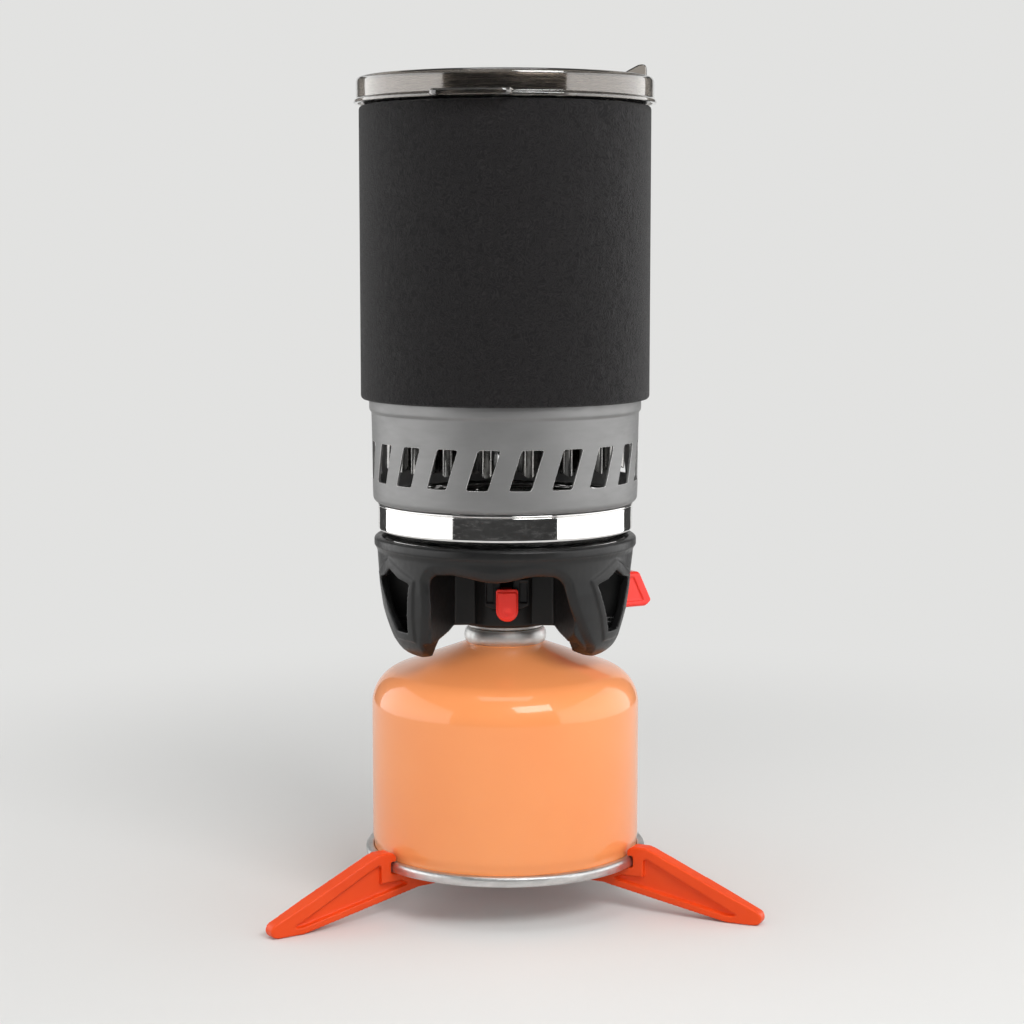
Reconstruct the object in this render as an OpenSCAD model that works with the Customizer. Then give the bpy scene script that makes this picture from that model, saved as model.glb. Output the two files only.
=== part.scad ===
// Canister stove for hiking: a folding stand, a gas canister, a burner on it, and a pot with a
// heat exchanger, a neoprene cozy and a lid. Lengths are in millimetres and angles in degrees.
// The feet stand on z = 0. Azimuths run from the front (-Y) towards the right (+X).

/* [Stand] */
// Reach of each leg from the stove's upright axis
leg_reach = 109.8; // [100:0.5:125]
// Thickness of a leg's raised border
leg_t = 6.6; // [5:0.2:8]
// Thickness of a leg's recessed web
web_t = 2.6; // [1.4:0.2:4]
// Width of the raised border round the web
border_w = 2.8; // [2:0.2:3.6]
// Length of the flat under each foot
foot_len = 11.5; // [8:0.5:16]
// Height of the canister's rim above the ground
rim_z = 17.5; // [16:0.5:22]
// Depth of a leg's arm under the canister
arm_h = 6.6; // [5.4:0.2:7.2]
// Turn of the whole stand about the upright axis
stand_turn = 5.3; // [-20:0.1:20]
// Radius of the hub pin
hub_pin_r = 3; // [2:0.1:4]
// Radius of the eye of each leg round the hub pin
eye_r = 8.5; // [7:0.1:9.5]

/* [Canister] */
// Outer radius of the painted body
can_r = 53.4; // [50:0.1:56]
// Thickness of the steel sheet
can_wall = 0.6; // [0.4:0.05:1]
// Height of the painted body from the rim's underside to the neck's top
can_h = 86.3; // [80:0.5:110]
// Radius of the shoulder
shoulder_r = 15; // [10:0.5:18]
// Slope of the domed top
dome_slope = 20; // [15:0.5:24]
// Outer radius of the neck
neck_r = 15.3; // [14.5:0.1:17]
// How far the rim stands out from the body
rim_out = 2.9; // [2:0.1:3.5]
// Height of the rim's rolled seam
rim_h = 4; // [3:0.1:5]
// Rise of the concave base
base_dome = 8.5; // [7:0.5:11]
// Height of the valve cup's rolled edge
cup_edge_h = 5.6; // [4.5:0.1:6.5]
// Outer radius of the valve thread
thread_r = 5.55; // [5:0.05:6]

/* [Burner base] */
// How far the top flange stands out from the windshield cup
flange_out = 2; // [1.6:0.1:4]
// Height of the base's feet above the end of the canister's shoulder curve
base_lift = 8.2; // [5:0.1:10]
// Height of the base from its feet to its flange's top
base_h = 46.9; // [44:0.2:56]
// Height of the top flange
flange_h = 4.4; // [3:0.2:6]
// Wall thickness of the moulding
base_wall = 2.4; // [1.8:0.1:3]
// Turn of the base about the upright axis
base_turn = -1.5; // [-20:0.5:20]
// Half width of each arch at its shoulders
arch_w = 25.8; // [22:0.2:27]
// Angle at which the side walls of an arch spread outwards
arch_spread = 20.6; // [16:0.1:24]
// Lean of the arches and windows away from upright, all the same way round
base_lean = 9; // [0:0.5:14]
// Width of the rounded lip along an arch's edge
lip_w = 3.6; // [2:0.1:4.4]
// Height of the arches above the feet
arch_h = 35.1; // [33:0.2:38]
// Dip of the arch's brow at its middle
brow_dip = 2.4; // [0:0.2:4]
// Height of each leg's window
window_h = 24.5; // [18:0.5:26]
// Width of each leg's window at its shoulders
window_w = 24.4; // [16:0.2:26]
// Width of the raised frame round a leg's window
window_frame_w = 3.4; // [2:0.1:4]
// How far the window's frame stands out
window_rim = 0.6; // [0.3:0.1:1]
// Width of a leg's foot
foot_w = 33; // [28:0.5:36]
// Rounding of a foot's lower edges
foot_round = 9; // [4:0.2:11]

/* [Valve and control] */
// Outer radius of the valve housing
housing_r = 18.4; // [17.8:0.1:20]
// Radius of the brass valve body
valve_r = 9.8; // [9.2:0.1:10]
// Height of the floor of the base's bowl below its rim
bowl_depth = 6.3; // [5:0.1:8]
// Width of the piezo unit
piezo_w = 6; // [5:0.1:6.4]
// Height of the spindle above the canister valve's seat
spindle_up = 20.2; // [19:0.1:22]
// Azimuth of the control knob from the middle of the front arch
knob_azimuth = 120; // [110:1:130]
// Reach of the knob from the upright axis
knob_reach = 66.8; // [60:0.2:72]
// Height of the knob's paddle
knob_h = 14.6; // [11:0.1:16]
// Thickness of the knob's paddle
knob_t = 5.6; // [4:0.1:7]
// Radius of the spindle in the valve body
spindle_r = 3; // [2.5:0.1:3.4]

/* [Igniter] */
// Azimuth of the igniter
igniter_azimuth = 2; // [-4:0.5:6]
// Width of the igniter button
button_w = 8.7; // [7:0.1:10]
// Height of the igniter button
button_h = 12.8; // [10:0.1:14]
// Thickness of the button's front
button_t = 2.4; // [1.8:0.1:3]
// Travel of the igniter button
button_travel = 4; // [3:0.1:4.4]
// Width of the guide frame
frame_w = 17.2; // [15:0.1:19]

/* [Windshield and burner] */
// How far the windshield cup is set in from the pot's wall
shield_in = 3.8; // [3.4:0.1:5]
// Height of the bright band of the windshield cup
shield_band_h = 8.2; // [7:0.1:12]
// Sheet thickness of the windshield cup
shield_wall = 0.6; // [0.5:0.05:0.8]
// Radius of the burner head
head_r = 25; // [20:0.5:28]
// Number of rings of flame ports
port_rings = 4; // [2:1:5]
// Radius of a flame port
port_r = 0.8; // [0.6:0.05:0.9]

/* [Heat exchanger] */
// Height of the skirt
skirt_h = 43; // [39:0.5:48]
// How far the skirt's collar is set in from the pot's wall
collar_in = 0.1; // [0:0.05:0.3]
// Sheet thickness of the skirt
skirt_wall = 0.85; // [0.7:0.05:1]
// Number of slots round the skirt
slot_count = 20; // [14:1:22]
// Width of a slot
slot_w = 8.6; // [6:0.1:9.5]
// Height of a slot
slot_h = 15.4; // [11:0.1:17]
// Sideways lean of a slot over its height
slot_lean = 4.9; // [0:0.1:6]
// Number of folded fins
fin_count = 36; // [24:1:40]
// Depth of the fins below the pot's floor
fin_drop = 16.5; // [12:0.5:18]

/* [Pot] */
// Outer radius of the pot's wall
pot_r = 53.9; // [48:0.1:62]
// Sheet thickness of the pot
pot_wall = 0.9; // [0.7:0.05:1.2]
// Height of the pot from its floor to its rim
pot_h = 133.8; // [110:1:160]
// How far the stepped rim stands out from the pot's wall
rim_step_w = 3.1; // [2.6:0.1:4]
// Height of the stepped rim
pot_rim_h = 9.3; // [7:0.1:12]
// Thickness of the neoprene cozy
cozy_t = 3.1; // [2.5:0.1:4]

/* [Handles] */
// Azimuth of the handle bracket
handle_azimuth = 167; // [150:1:180]
// Radius of the handle wire
wire_r = 1.5; // [1.2:0.1:1.8]
// Height of each wire handle
handle_h = 50; // [40:1:60]
// Angle that each handle wraps round the pot when folded
handle_wrap = 41; // [30:1:50]
// Wall of the rubber sleeve on each handle
sleeve_t = 1.4; // [1:0.1:1.6]

/* [Lid] */
// Thickness of the lid
lid_t = 1.2; // [1:0.05:1.6]
// Depth of the lid's outer skirt
lid_skirt_h = 10.1; // [8:0.1:12]
// Depth of the lid's recessed deck below its edge
deck_drop = 4; // [2.5:0.1:5]
// Azimuth of the lift tab
tab_azimuth = -13; // [-40:1:40]
// Width of the lift tab
tab_w = 33; // [20:0.5:40]
// How far the lift tab stands out
tab_out = 5.4; // [3:0.1:8]
// Height of the fin that stands on the lid
lid_fin_h = 4.4; // [3:0.1:6]

/* [Fits] */
// Gap between neighbouring pieces that move apart
gap = 0.3; // [0.2:0.05:0.5]
// Radial running clearance of pins in their holes
run = 0.05; // [0.03:0.01:0.09]

/* [Hidden] */
$fn = 96;

PLASTIC_RED = "orangered";
PLASTIC_BLACK = "dimgray";

// Azimuths of the stand's legs
left_azimuth = stand_turn - 60;
right_azimuth = stand_turn + 60;
rear_azimuth = stand_turn + 180;

// Place of the upright axis, so that the origin lies under the middle of the whole stove
reach_left = leg_reach * sin(-left_azimuth);
reach_right = leg_reach * sin(right_azimuth);
reach_front = leg_reach * cos(left_azimuth);
reach_back = -leg_reach * cos(rear_azimuth);
axis_x = round((reach_left - reach_right) / 2);
axis_y = round((reach_front - reach_back) / 2);

// Radii of the pieces that are matched to the pot
shield_r = pot_r - shield_in;
flange_r = shield_r + flange_out;
collar_r = pot_r - collar_in;
rim_r = pot_r + rim_step_w;

// Heights above the ground, from the canister's rim up
arm_top = rim_z - 0.9;
arm_bottom = arm_top - arm_h;
eye_t = (arm_h - 2 * gap) / 3;
rim_top = rim_z + rim_h;
rim_outer_r = can_r + rim_out;
neck_top = rim_z + can_h;
cup_top = neck_top + cup_edge_h;
cup_edge_w = 2.8;
cup_r = neck_r + 1.1;
cup_bore_r = cup_r - cup_edge_w + 0.4;
cup_floor_z = neck_top - 4;
thread_top = cup_top - 0.8;
dome_top_z = neck_top - 0.8;
dome_end_r = can_r - shoulder_r * (1 - sin(dome_slope));
dome_end_z = dome_top_z - (dome_end_r - neck_r) * tan(dome_slope);
shoulder_z = dome_end_z - shoulder_r * cos(dome_slope);

// Points of an arc about (x, y), from angle a to angle b in n steps
function arc(x, y, r, a, b, n = 6) =
    [for (i = [0:n]) let (t = a + (b - a) * i / n) [x + r * cos(t), y + r * sin(t)]];

// A list of points mirrored left to right, in reverse order
function mirrored(points) =
    [for (i = [len(points) - 1:-1:0]) [-points[i][0], points[i][1]]];

// Puts a piece on the stove's upright axis, in its colour
module placed(c) color(c) translate([axis_x, axis_y, 0]) children();

// A ring or disc between two heights
module tube(r_out, r_in, z0, z1) {
    translate([0, 0, z0]) difference() {
        cylinder(r = r_out, h = z1 - z0);
        if (r_in > 0) translate([0, 0, -1]) cylinder(r = r_in, h = z1 - z0 + 2);
    }
}

// A rod that lies along the radius at an azimuth, between two radii and at height z
module radial_rod(azimuth, z, r, from, to) {
    rotate(azimuth) translate([0, -from, z]) rotate([90, 0, 0]) cylinder(r = r, h = to - from);
}

// A flat outline (across, up) pushed out along the radius at an azimuth
module radial_cut(azimuth, from, to) {
    rotate(azimuth) translate([0, -from, 0]) rotate([90, 0, 0]) linear_extrude(to - from) children();
}

// ---- Stand ----

hook_r = rim_outer_r + gap;
hook_floor = rim_z - gap;
hook_top = rim_top + gap;
crest_z = hook_top + 3.7;
tip_r = 2.8;
top_slope = atan((crest_z - 0.9 - 2 * tip_r) / (leg_reach - tip_r - hook_r - 7.7));
arm_start = eye_r + 1.4;
neck_w = leg_t * 2 / 3;

// Side outline of a leg, as (radius, height)
function leg_outline() = concat(
    [[leg_reach - tip_r - foot_len, 0]],
    arc(leg_reach - tip_r, tip_r, tip_r, -90, 90 - top_slope),
    [[hook_r + 7.7, crest_z - 0.9], [hook_r + 5, crest_z], [hook_r + 1.2, crest_z]],
    arc(hook_r + 0.4, crest_z - 2.8, 2.8, 90, 180),
    [[hook_r - 2.4, hook_top], [hook_r, hook_top], [hook_r, hook_floor]],
    [[hook_r - 6, hook_floor], [hook_r - 7, arm_top], [arm_start, arm_top]],
    [[arm_start, arm_bottom], [hook_r - 13, arm_bottom]]
);

// Outline of the recess on each side of a leg, inside its raised border
rib_r = hook_r + 2.2 + border_w * 0.8;
function web_outline() = [
    [leg_reach - 9, border_w],
    [rib_r + 1.6, crest_z - 0.9 - border_w * 1.25],
    [rib_r, crest_z - 1.2 - border_w * 1.25],
    [rib_r, hook_floor - border_w * 1.2],
    [hook_r - 5, hook_floor - border_w * 1.2],
    [hook_r - 6.5, arm_bottom + border_w],
    [hook_r - 12, arm_bottom + border_w],
    [leg_reach - tip_r - foot_len, border_w]
];

// Half of a leg's plan: narrow at the hub, full width from the hook outwards
function leg_plan_half() = [
    [arm_start - 2, neck_w / 2],
    [hook_r - 10, leg_t / 2],
    [leg_reach - 16, leg_t / 2],
    [leg_reach - 1.2, leg_t * 0.4],
    [leg_reach + 1, leg_t * 0.3]
];

// One leg along +X, whose eye is the nth in the stack round the hub pin
module leg(n, bore_r) {
    eye_z = arm_bottom + n * (eye_t + gap);
    half = leg_plan_half();
    difference() {
        union() {
            intersection() {
                rotate([90, 0, 0]) translate([0, 0, -leg_t / 2]) linear_extrude(leg_t) polygon(leg_outline());
                linear_extrude(crest_z + 1)
                    polygon(concat(half, [for (i = [len(half) - 1:-1:0]) [half[i][0], -half[i][1]]]));
            }
            translate([0, 0, eye_z]) cylinder(r = eye_r, h = eye_t);
            translate([eye_r - 3, -neck_w / 2, eye_z]) cube([arm_start - eye_r + 4, neck_w, eye_t]);
        }
        for (side = [-1, 1])
            translate([0, side * (web_t + leg_t) / 2, 0]) rotate([90, 0, 0])
                translate([0, 0, -leg_t / 2]) linear_extrude(leg_t) polygon(web_outline());
        translate([0, 0, eye_z - 1]) cylinder(r = bore_r, h = eye_t + 2);
    }
}

module rear_leg() placed(PLASTIC_RED) rotate(rear_azimuth - 90) leg(0, hub_pin_r);
module left_leg() placed(PLASTIC_RED) rotate(left_azimuth - 90) leg(1, hub_pin_r + run);
module right_leg() placed(PLASTIC_RED) rotate(right_azimuth - 90) leg(2, hub_pin_r + run);

// Rivet through the three eyes, headed at both ends
module hub_pin() placed("silver") {
    head_t = 1.1;
    translate([0, 0, arm_bottom - head_t]) cylinder(r = hub_pin_r, h = arm_h + gap + head_t);
    translate([0, 0, arm_bottom - head_t]) cylinder(r1 = hub_pin_r + 1.4, r2 = hub_pin_r + 2, h = head_t);
    translate([0, 0, arm_top + gap]) cylinder(r1 = hub_pin_r + 2, r2 = hub_pin_r + 1.4, h = head_t);
}

// ---- Canister ----

seam_in_r = can_r - 0.5;

// Outside of the painted body, offset inwards by d, from the seam up to the neck
function can_side(d) = concat(
    [[seam_in_r - d, rim_z + 2], [seam_in_r - d, rim_top + 0.4], [can_r - d, rim_top + 3.4]],
    arc(can_r - shoulder_r, shoulder_z, shoulder_r - d, 0, 90 - dome_slope, 10),
    [[neck_r + 2.4 - d * 0.4, dome_top_z - 0.87 - d], [neck_r + 0.8 - d * 0.8, dome_top_z - 0.1 - d * 0.5]],
    [[neck_r - d, dome_top_z + 0.4], [neck_r - d, neck_top]]
);

module canister_body() placed("sandybrown") {
    outer = can_side(0);
    inner = can_side(can_wall);
    rotate_extrude() polygon(concat(outer, [for (i = [len(inner) - 1:-1:0]) inner[i]]));
}

// Concave base disc with the rolled seam that forms the canister's rim
module canister_base() placed("silver") {
    dome_r = seam_in_r - 2;
    curve_r = (pow(dome_r, 2) + pow(base_dome, 2)) / (2 * base_dome);
    span = asin(dome_r / curve_r);
    low = rim_z + 1.6 + base_dome - curve_r;
    rotate_extrude() polygon(concat(
        [[0, rim_z + 1.6 + base_dome]],
        arc(0, low, curve_r, 90 - span / 6, 90 - span, 6),
        [[seam_in_r - 0.4, rim_z], [rim_outer_r - 1.5, rim_z]],
        arc(rim_outer_r - 1.5, rim_z + 1.5, 1.5, -75, 0, 4),
        arc(rim_outer_r - 1.5, rim_top - 1.5, 1.5, 0, 90, 4),
        [[seam_in_r, rim_top], [seam_in_r, rim_z + 2], [seam_in_r - can_wall - 0.1, rim_z + 2]],
        arc(0, low, curve_r + can_wall, 90 - span + 0.2, 90 - span / 6, 6),
        [[0, rim_z + 1.6 + base_dome + can_wall]]
    ));
}

// Valve cup with its rolled edge on the neck
module valve_cup() placed("gainsboro") {
    edge_r = cup_edge_w / 2;
    rotate_extrude() polygon(concat(
        [[neck_r - can_wall, neck_top], [cup_r - 0.9, neck_top]],
        arc(cup_r - 0.9, neck_top + 0.9, 0.9, -60, 0, 3),
        arc(cup_r - edge_r, cup_top - edge_r, edge_r, 0, 180, 8),
        [[cup_r - cup_edge_w, neck_top + 1.4], [cup_bore_r, neck_top + 0.4], [cup_bore_r, cup_floor_z + 0.6]],
        [[cup_bore_r - 0.6, cup_floor_z], [thread_r + 2.4, cup_floor_z], [thread_r + 1.4, cup_floor_z + 0.8]],
        [[thread_r, cup_floor_z + 0.8], [thread_r, cup_floor_z + 0.1], [thread_r + 1, cup_floor_z - 0.6]],
        [[cup_bore_r, cup_floor_z - 0.6], [neck_r - can_wall, cup_floor_z + 0.4]]
    ));
}

// Threaded boss of the canister's valve
module canister_valve() placed("darkkhaki") {
    difference() {
        union() {
            tube(thread_r, 0, cup_floor_z - 3, thread_top);
            tube(thread_r + 1.6, 0, cup_floor_z - 3, cup_floor_z - 0.7);
        }
        tube(stem_r + 0.2, 0, cup_floor_z - 2, thread_top + 1);
        tube(gasket_r, 0, thread_top - gasket_t, thread_top + 1);
    }
}

stem_r = 1.6;
gasket_r = 3.6;
gasket_t = 1.5;

module valve_stem() placed("white") tube(stem_r, 0.6, cup_floor_z - 2, thread_top - 1.2);

module stem_gasket() placed("black") tube(gasket_r, stem_r + 0.1, thread_top - gasket_t, thread_top - 0.1);

// ---- Burner: valve, housing and control ----

seal_t = 1.6;
socket_top = thread_top + gap + seal_t;
valve_low = cup_floor_z + 1.5;
spindle_z = cup_floor_z + spindle_up;
base_foot_z = dome_end_z + base_lift;
base_top = base_foot_z + base_h;
floor_top = base_top - bowl_depth;
floor_low = floor_top - base_wall;
housing_low = cup_top + 1.7;
jet_low = floor_top - 4;
tube_top = floor_top + 11;
knob_at = base_turn + knob_azimuth;

// Sealing ring between the canister's valve and the burner, held in the burner's socket
module seal_ring() placed("black") {
    mid_r = (gasket_r + thread_r) / 2;
    translate([0, 0, socket_top - seal_t / 2 - 0.05]) rotate_extrude()
        translate([mid_r - 0.1, 0]) circle(r = seal_t / 2);
}

// Brass valve body: threaded socket below, spindle bore at the side, seat for the jet on top
module valve_body() placed("goldenrod") {
    difference() {
        union() {
            tube(valve_r - 0.8, 0, valve_low, housing_low + 1.5);
            tube(valve_r, 0, housing_low + 1.5, jet_low - 3);
            tube(tube_r - tube_wall, 0, jet_low - 3, jet_low + 2);
            radial_rod(knob_at, spindle_z, gland_r, 2, valve_r + 1);
        }
        tube(thread_r + run * 2, 0, valve_low - 1, socket_top);
        tube(pin_r, 0, socket_top - 1, spindle_z - 1);
        tube(pin_r, 0, spindle_z, jet_low);
        tube(jet_r, 0, jet_low - 2.5, jet_low + 3);
        radial_rod(knob_at, spindle_z, spindle_r + run, spindle_in - 1, valve_r + 2);
    }
}

// Pin that opens the canister's valve as the burner is screwed on
module depressor_pin() placed("silver") tube(pin_r, 0, thread_top - 0.8, socket_top + 3);

pin_r = 0.95;
jet_r = 2.5;
tube_r = 7;
tube_wall = 0.7;
gland_r = 5.6;
spindle_in = 4.5;

// Gas jet with a hexagonal head and a fine bore
module gas_jet() placed("gold") {
    difference() {
        union() {
            tube(jet_r, 0, jet_low - 2.5, jet_low + 2);
            translate([0, 0, jet_low + 2]) cylinder(r = jet_r + 1.4, h = 2.4, $fn = 6);
        }
        tube(0.5, 0, jet_low - 3, jet_low + 6);
    }
}

// Mixing tube: takes in air through its side holes and carries the gas up to the burner head
module mixing_tube() placed("silver") {
    difference() {
        tube(tube_r, tube_r - tube_wall, jet_low - 3, tube_top);
        for (i = [0:3]) radial_rod(45 + 90 * i, floor_top + 4.6, 2.2, 1, tube_r + 2);
    }
}

// Nut that holds the spindle in the valve body
module gland_nut() placed("darkgoldenrod") {
    rotate(knob_at) translate([0, -valve_r - 1, spindle_z]) rotate([90, 0, 0]) difference() {
        cylinder(r = gland_r, h = 3.6, $fn = 6);
        translate([0, 0, -1]) cylinder(r = stem_out_r + run, h = 6);
    }
}

// Spindle: its thick end sits in the valve body, its thin end carries the knob
module valve_spindle() placed("silver") {
    difference() {
        union() {
            radial_rod(knob_at, spindle_z, spindle_r, spindle_in, valve_r + 1 - gap);
            radial_rod(knob_at, spindle_z, stem_out_r, valve_r, knob_root + stem_hold);
        }
        rotate(knob_at) translate([0, -spindle_in - 2.2, spindle_z]) rotate([90, 0, 0]) difference() {
            cylinder(r = spindle_r + 1, h = 1);
            translate([0, 0, -1]) cylinder(r = spindle_r - 0.9, h = 4);
        }
    }
}

// Seal in the spindle's groove
module spindle_ring() placed("black") {
    ring = 0.45;
    rotate(knob_at) translate([0, -spindle_in - 2.7, spindle_z]) rotate([90, 0, 0]) rotate_extrude()
        translate([spindle_r - 0.9 + ring, 0]) circle(r = ring, $fn = 20);
}

// Thin end of the spindle, and its length inside the knob's boss
stem_out_r = 2;
stem_hold = 9;

// Inner end of the knob's boss, and inner end of its paddle
knob_root = housing_r + 5;
paddle_root = flange_r - 4.2;

// Control knob: a round boss on the spindle and a flat paddle with a slanted end
module control_knob() placed("red") {
    half = knob_h / 2;
    rotate(knob_at) translate([0, 0, spindle_z]) difference() {
        union() {
            intersection() {
                rotate([0, -90, 0]) translate([0, 0, -knob_t / 2]) linear_extrude(knob_t) polygon(concat(
                    [[-half + 1, -paddle_root], [half - 1, -paddle_root], [half, -paddle_root - 1]],
                    arc(half - 1, -knob_reach + 6.3, 1, 0, -70, 3),
                    arc(-half + 2.6, -knob_reach + 1.2, 1.2, -70, -115, 3),
                    [[-half, -knob_reach + 2.4], [-half, -paddle_root - 1]]
                ));
                rotate([90, 0, 0]) translate([0, 0, paddle_root - 1]) linear_extrude(knob_reach) polygon([
                    [-knob_t / 2 + 0.8, -half], [knob_t / 2 - 0.8, -half], [knob_t / 2, -half + 0.8],
                    [knob_t / 2, half - 0.8], [knob_t / 2 - 0.8, half], [-knob_t / 2 + 0.8, half],
                    [-knob_t / 2, half - 0.8], [-knob_t / 2, -half + 0.8]
                ]);
            }
            rotate([90, 0, 0]) translate([0, 0, knob_root]) rotate_extrude() polygon([
                [0, 0], [4.6, 0], [5.2, 0.8], [4.2, paddle_root - knob_root - 3],
                [knob_t / 2 + 0.6, paddle_root - knob_root + 5], [0, paddle_root - knob_root + 9]
            ]);
        }
        rotate([90, 0, 0]) translate([0, 0, knob_root - 1]) cylinder(r = stem_out_r, h = stem_hold + 1);
        for (side = [-1, 1]) translate([side * (knob_t / 2 + 0.01), 0, 0]) rotate([0, -90, 0])
            translate([0, 0, -0.5]) linear_extrude(1) polygon([
                [-half + 2.4, -paddle_root - 3], [half - 2.2, -paddle_root - 3],
                [half - 2.2, -knob_reach + 8.2], [-half + 2.4, -knob_reach + 3.4]
            ]);
    }
}

// Steel ring pressed on the valve body under the housing, just clear of the canister's rolled cup
seat_ring_r = cup_r - 1.2;
module seat_ring() placed("silver") {
    chamfer = 0.4;
    rotate_extrude() polygon([
        [valve_r - 0.8, cup_top + gap], [seat_ring_r - chamfer, cup_top + gap],
        [seat_ring_r, cup_top + gap + chamfer],
        [seat_ring_r, housing_low], [valve_r - 0.8, housing_low]
    ]);
}

// Plastic housing round the valve body, with pockets for the igniter and the spindle
module valve_housing() placed(PLASTIC_BLACK) {
    chamfer = 1;
    difference() {
        union() {
            rotate_extrude() polygon([
                [0, housing_low], [housing_r - chamfer, housing_low], [housing_r, housing_low + chamfer],
                [housing_r, floor_low], [0, floor_low]
            ]);
            tube(base_bore_r, 0, floor_low - 1, floor_top);
        }
        tube(valve_r, 0, housing_low - 1, jet_low - 3);
        tube(tube_r, 0, jet_low - 4, floor_top + 1);
        rotate(igniter_azimuth) {
            translate([-piezo_w / 2, -piezo_y - piezo_w / 2, housing_low - 1])
                cube([piezo_w, piezo_w, floor_low - housing_low - 1]);
            translate([-frame_w / 2 - 1, -housing_r - 2, frame_low - 0.6])
                cube([frame_w + 2, housing_r + 2 - frame_back, frame_top - frame_low + 1.2]);
            translate([-arm_w / 2 - gap, -housing_r, arm_z - button_travel - 0.5])
                cube([arm_w + 2 * gap, housing_r - piezo_y, frame_top - arm_z + button_travel]);
            translate([lead_x - lead_slot / 2, -lead_y - lead_slot / 2, lead_start_z - lead_slot / 2])
                cube([lead_slot, lead_slot, floor_top - lead_start_z + 5]);
            translate([0, -lead_y - lead_slot / 2, lead_start_z - lead_slot / 2])
                cube([lead_x, lead_slot, lead_slot]);
        }
        radial_rod(knob_at, spindle_z, gland_r + 0.6, valve_r - 3, housing_r + 2);
    }
}

// ---- Igniter ----

frame_back = housing_r - 1;
frame_front = housing_r + 2;
frame_low = housing_low + 8.2;
frame_top = floor_low - 8;
button_back = frame_front + gap + 1;
button_top = frame_top - 3.6;
arm_w = 4.6;
arm_t = 2.6;
arm_z = button_top - arm_t - 0.8;
piezo_y = frame_back - 1.1 - piezo_w / 2;
piezo_top = arm_z - button_travel - 0.8;
plunger_r = 1.9;
lead_r = 0.6;
lead_slot = 1.8;
lead_x = piezo_w / 2 + lead_slot / 2;
lead_y = piezo_y - 1.2;
lead_start_z = piezo_top - 3;

// Guide frame on the housing's front: a plate with two rails and a slot for the button's arm
module igniter_frame() placed(PLASTIC_BLACK) rotate(igniter_azimuth) {
    slot_half = arm_w / 2 + gap;
    difference() {
        translate([0, -frame_back, 0]) rotate([90, 0, 0]) linear_extrude(frame_front - frame_back) polygon([
            [-frame_w / 2, frame_low + 1.4], [-button_w / 2 - 1, frame_low], [button_w / 2 + 1, frame_low],
            [frame_w / 2, frame_low + 1.4], [frame_w / 2, frame_top], [-frame_w / 2, frame_top]
        ]);
        translate([-slot_half, -frame_front - 1, arm_z - button_travel - 0.5])
            cube([2 * slot_half, 10, frame_top - arm_z + button_travel + 2]);
        for (side = [-1, 1]) translate([side * (button_w / 2 + 2.2), -frame_front, 0]) rotate([90, 0, 0])
            translate([0, 0, -0.8]) linear_extrude(2) polygon([
                [-1.5, frame_low + 2.4], [1.5, frame_low + 2.4], [1.5, frame_top - 1.2], [-1.5, frame_top - 1.2]
            ]);
    }
}

// Igniter button: a tongue with a round lower end, and an arm back through the frame
module igniter_button() placed("red") rotate(igniter_azimuth) {
    r = button_w / 2;
    low = button_top - button_h;
    translate([0, -button_back, 0]) rotate([90, 0, 0]) difference() {
        union() {
            linear_extrude(button_t - 0.7) polygon(concat(
                arc(0, low + r, r, 180, 360, 12),
                [[r, button_top - 0.6], [r - 0.6, button_top], [-r + 0.6, button_top], [-r, button_top - 0.6]]
            ));
            translate([0, 0, button_t - 0.75]) linear_extrude(0.75) polygon(concat(
                arc(0, low + r, r - 0.7, 180, 360, 12),
                [[r - 0.7, button_top - 1.3], [-r + 0.7, button_top - 1.3]]
            ));
        }
        translate([0, low + r * 0.9, button_t + 1.9]) sphere(r = 2.4, $fn = 40);
    }
    translate([-arm_w / 2, -button_back - 0.5, arm_z]) cube([arm_w, button_back - piezo_y + plunger_r, arm_t]);
}

// Piezo unit: the case stands in the housing and its plunger is pushed down by the button
module piezo_case() placed("ivory") rotate(igniter_azimuth) difference() {
    translate([-piezo_w / 2, -piezo_y - piezo_w / 2, housing_low])
        cube([piezo_w, piezo_w, piezo_top - housing_low]);
    translate([0, -piezo_y, piezo_top - button_travel - 3.4]) cylinder(r = plunger_r + run, h = 12);
}

module piezo_plunger() placed("white") rotate(igniter_azimuth)
    translate([0, -piezo_y, piezo_top - 3]) cylinder(r = plunger_r, h = arm_z - piezo_top + 3);

electrode_at = 42;
electrode_r = 33;
sleeve_r = 1.4;
electrode_wire = 0.5;
wire_z = floor_top + lead_r;

// Ignition lead: out of the piezo unit, up its channel, then across the base's floor
module ignition_lead() placed("whitesmoke") {
    turned = igniter_azimuth;
    start = [lead_x * cos(turned) + lead_y * sin(turned), lead_x * sin(turned) - lead_y * cos(turned)];
    end = [electrode_r * sin(electrode_at), -electrode_r * cos(electrode_at)];
    across = end - start;
    thin = lead_r - 0.06;
    translate([start[0], start[1], lead_start_z - lead_r])
        cylinder(r = lead_r, h = wire_z - lead_start_z + 2 * lead_r);
    rotate(turned) translate([piezo_w / 2, -lead_y, lead_start_z]) rotate([0, 90, 0])
        cylinder(r = thin, h = lead_x - piezo_w / 2);
    translate([start[0], start[1], wire_z]) rotate([0, 0, atan2(across[1], across[0])]) rotate([0, 90, 0])
        cylinder(r = thin, h = norm(across) - sleeve_r);
}

// Ceramic sleeve of the electrode, standing through the windshield cup's floor
module electrode_sleeve() placed("white") rotate(electrode_at) translate([0, -electrode_r, 0]) {
    tube(sleeve_r, electrode_wire, floor_top, tube_top + 1);
    tube(sleeve_r + 0.8, electrode_wire, cup_floor + shield_wall, cup_floor + shield_wall + 2.4);
}

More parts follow.
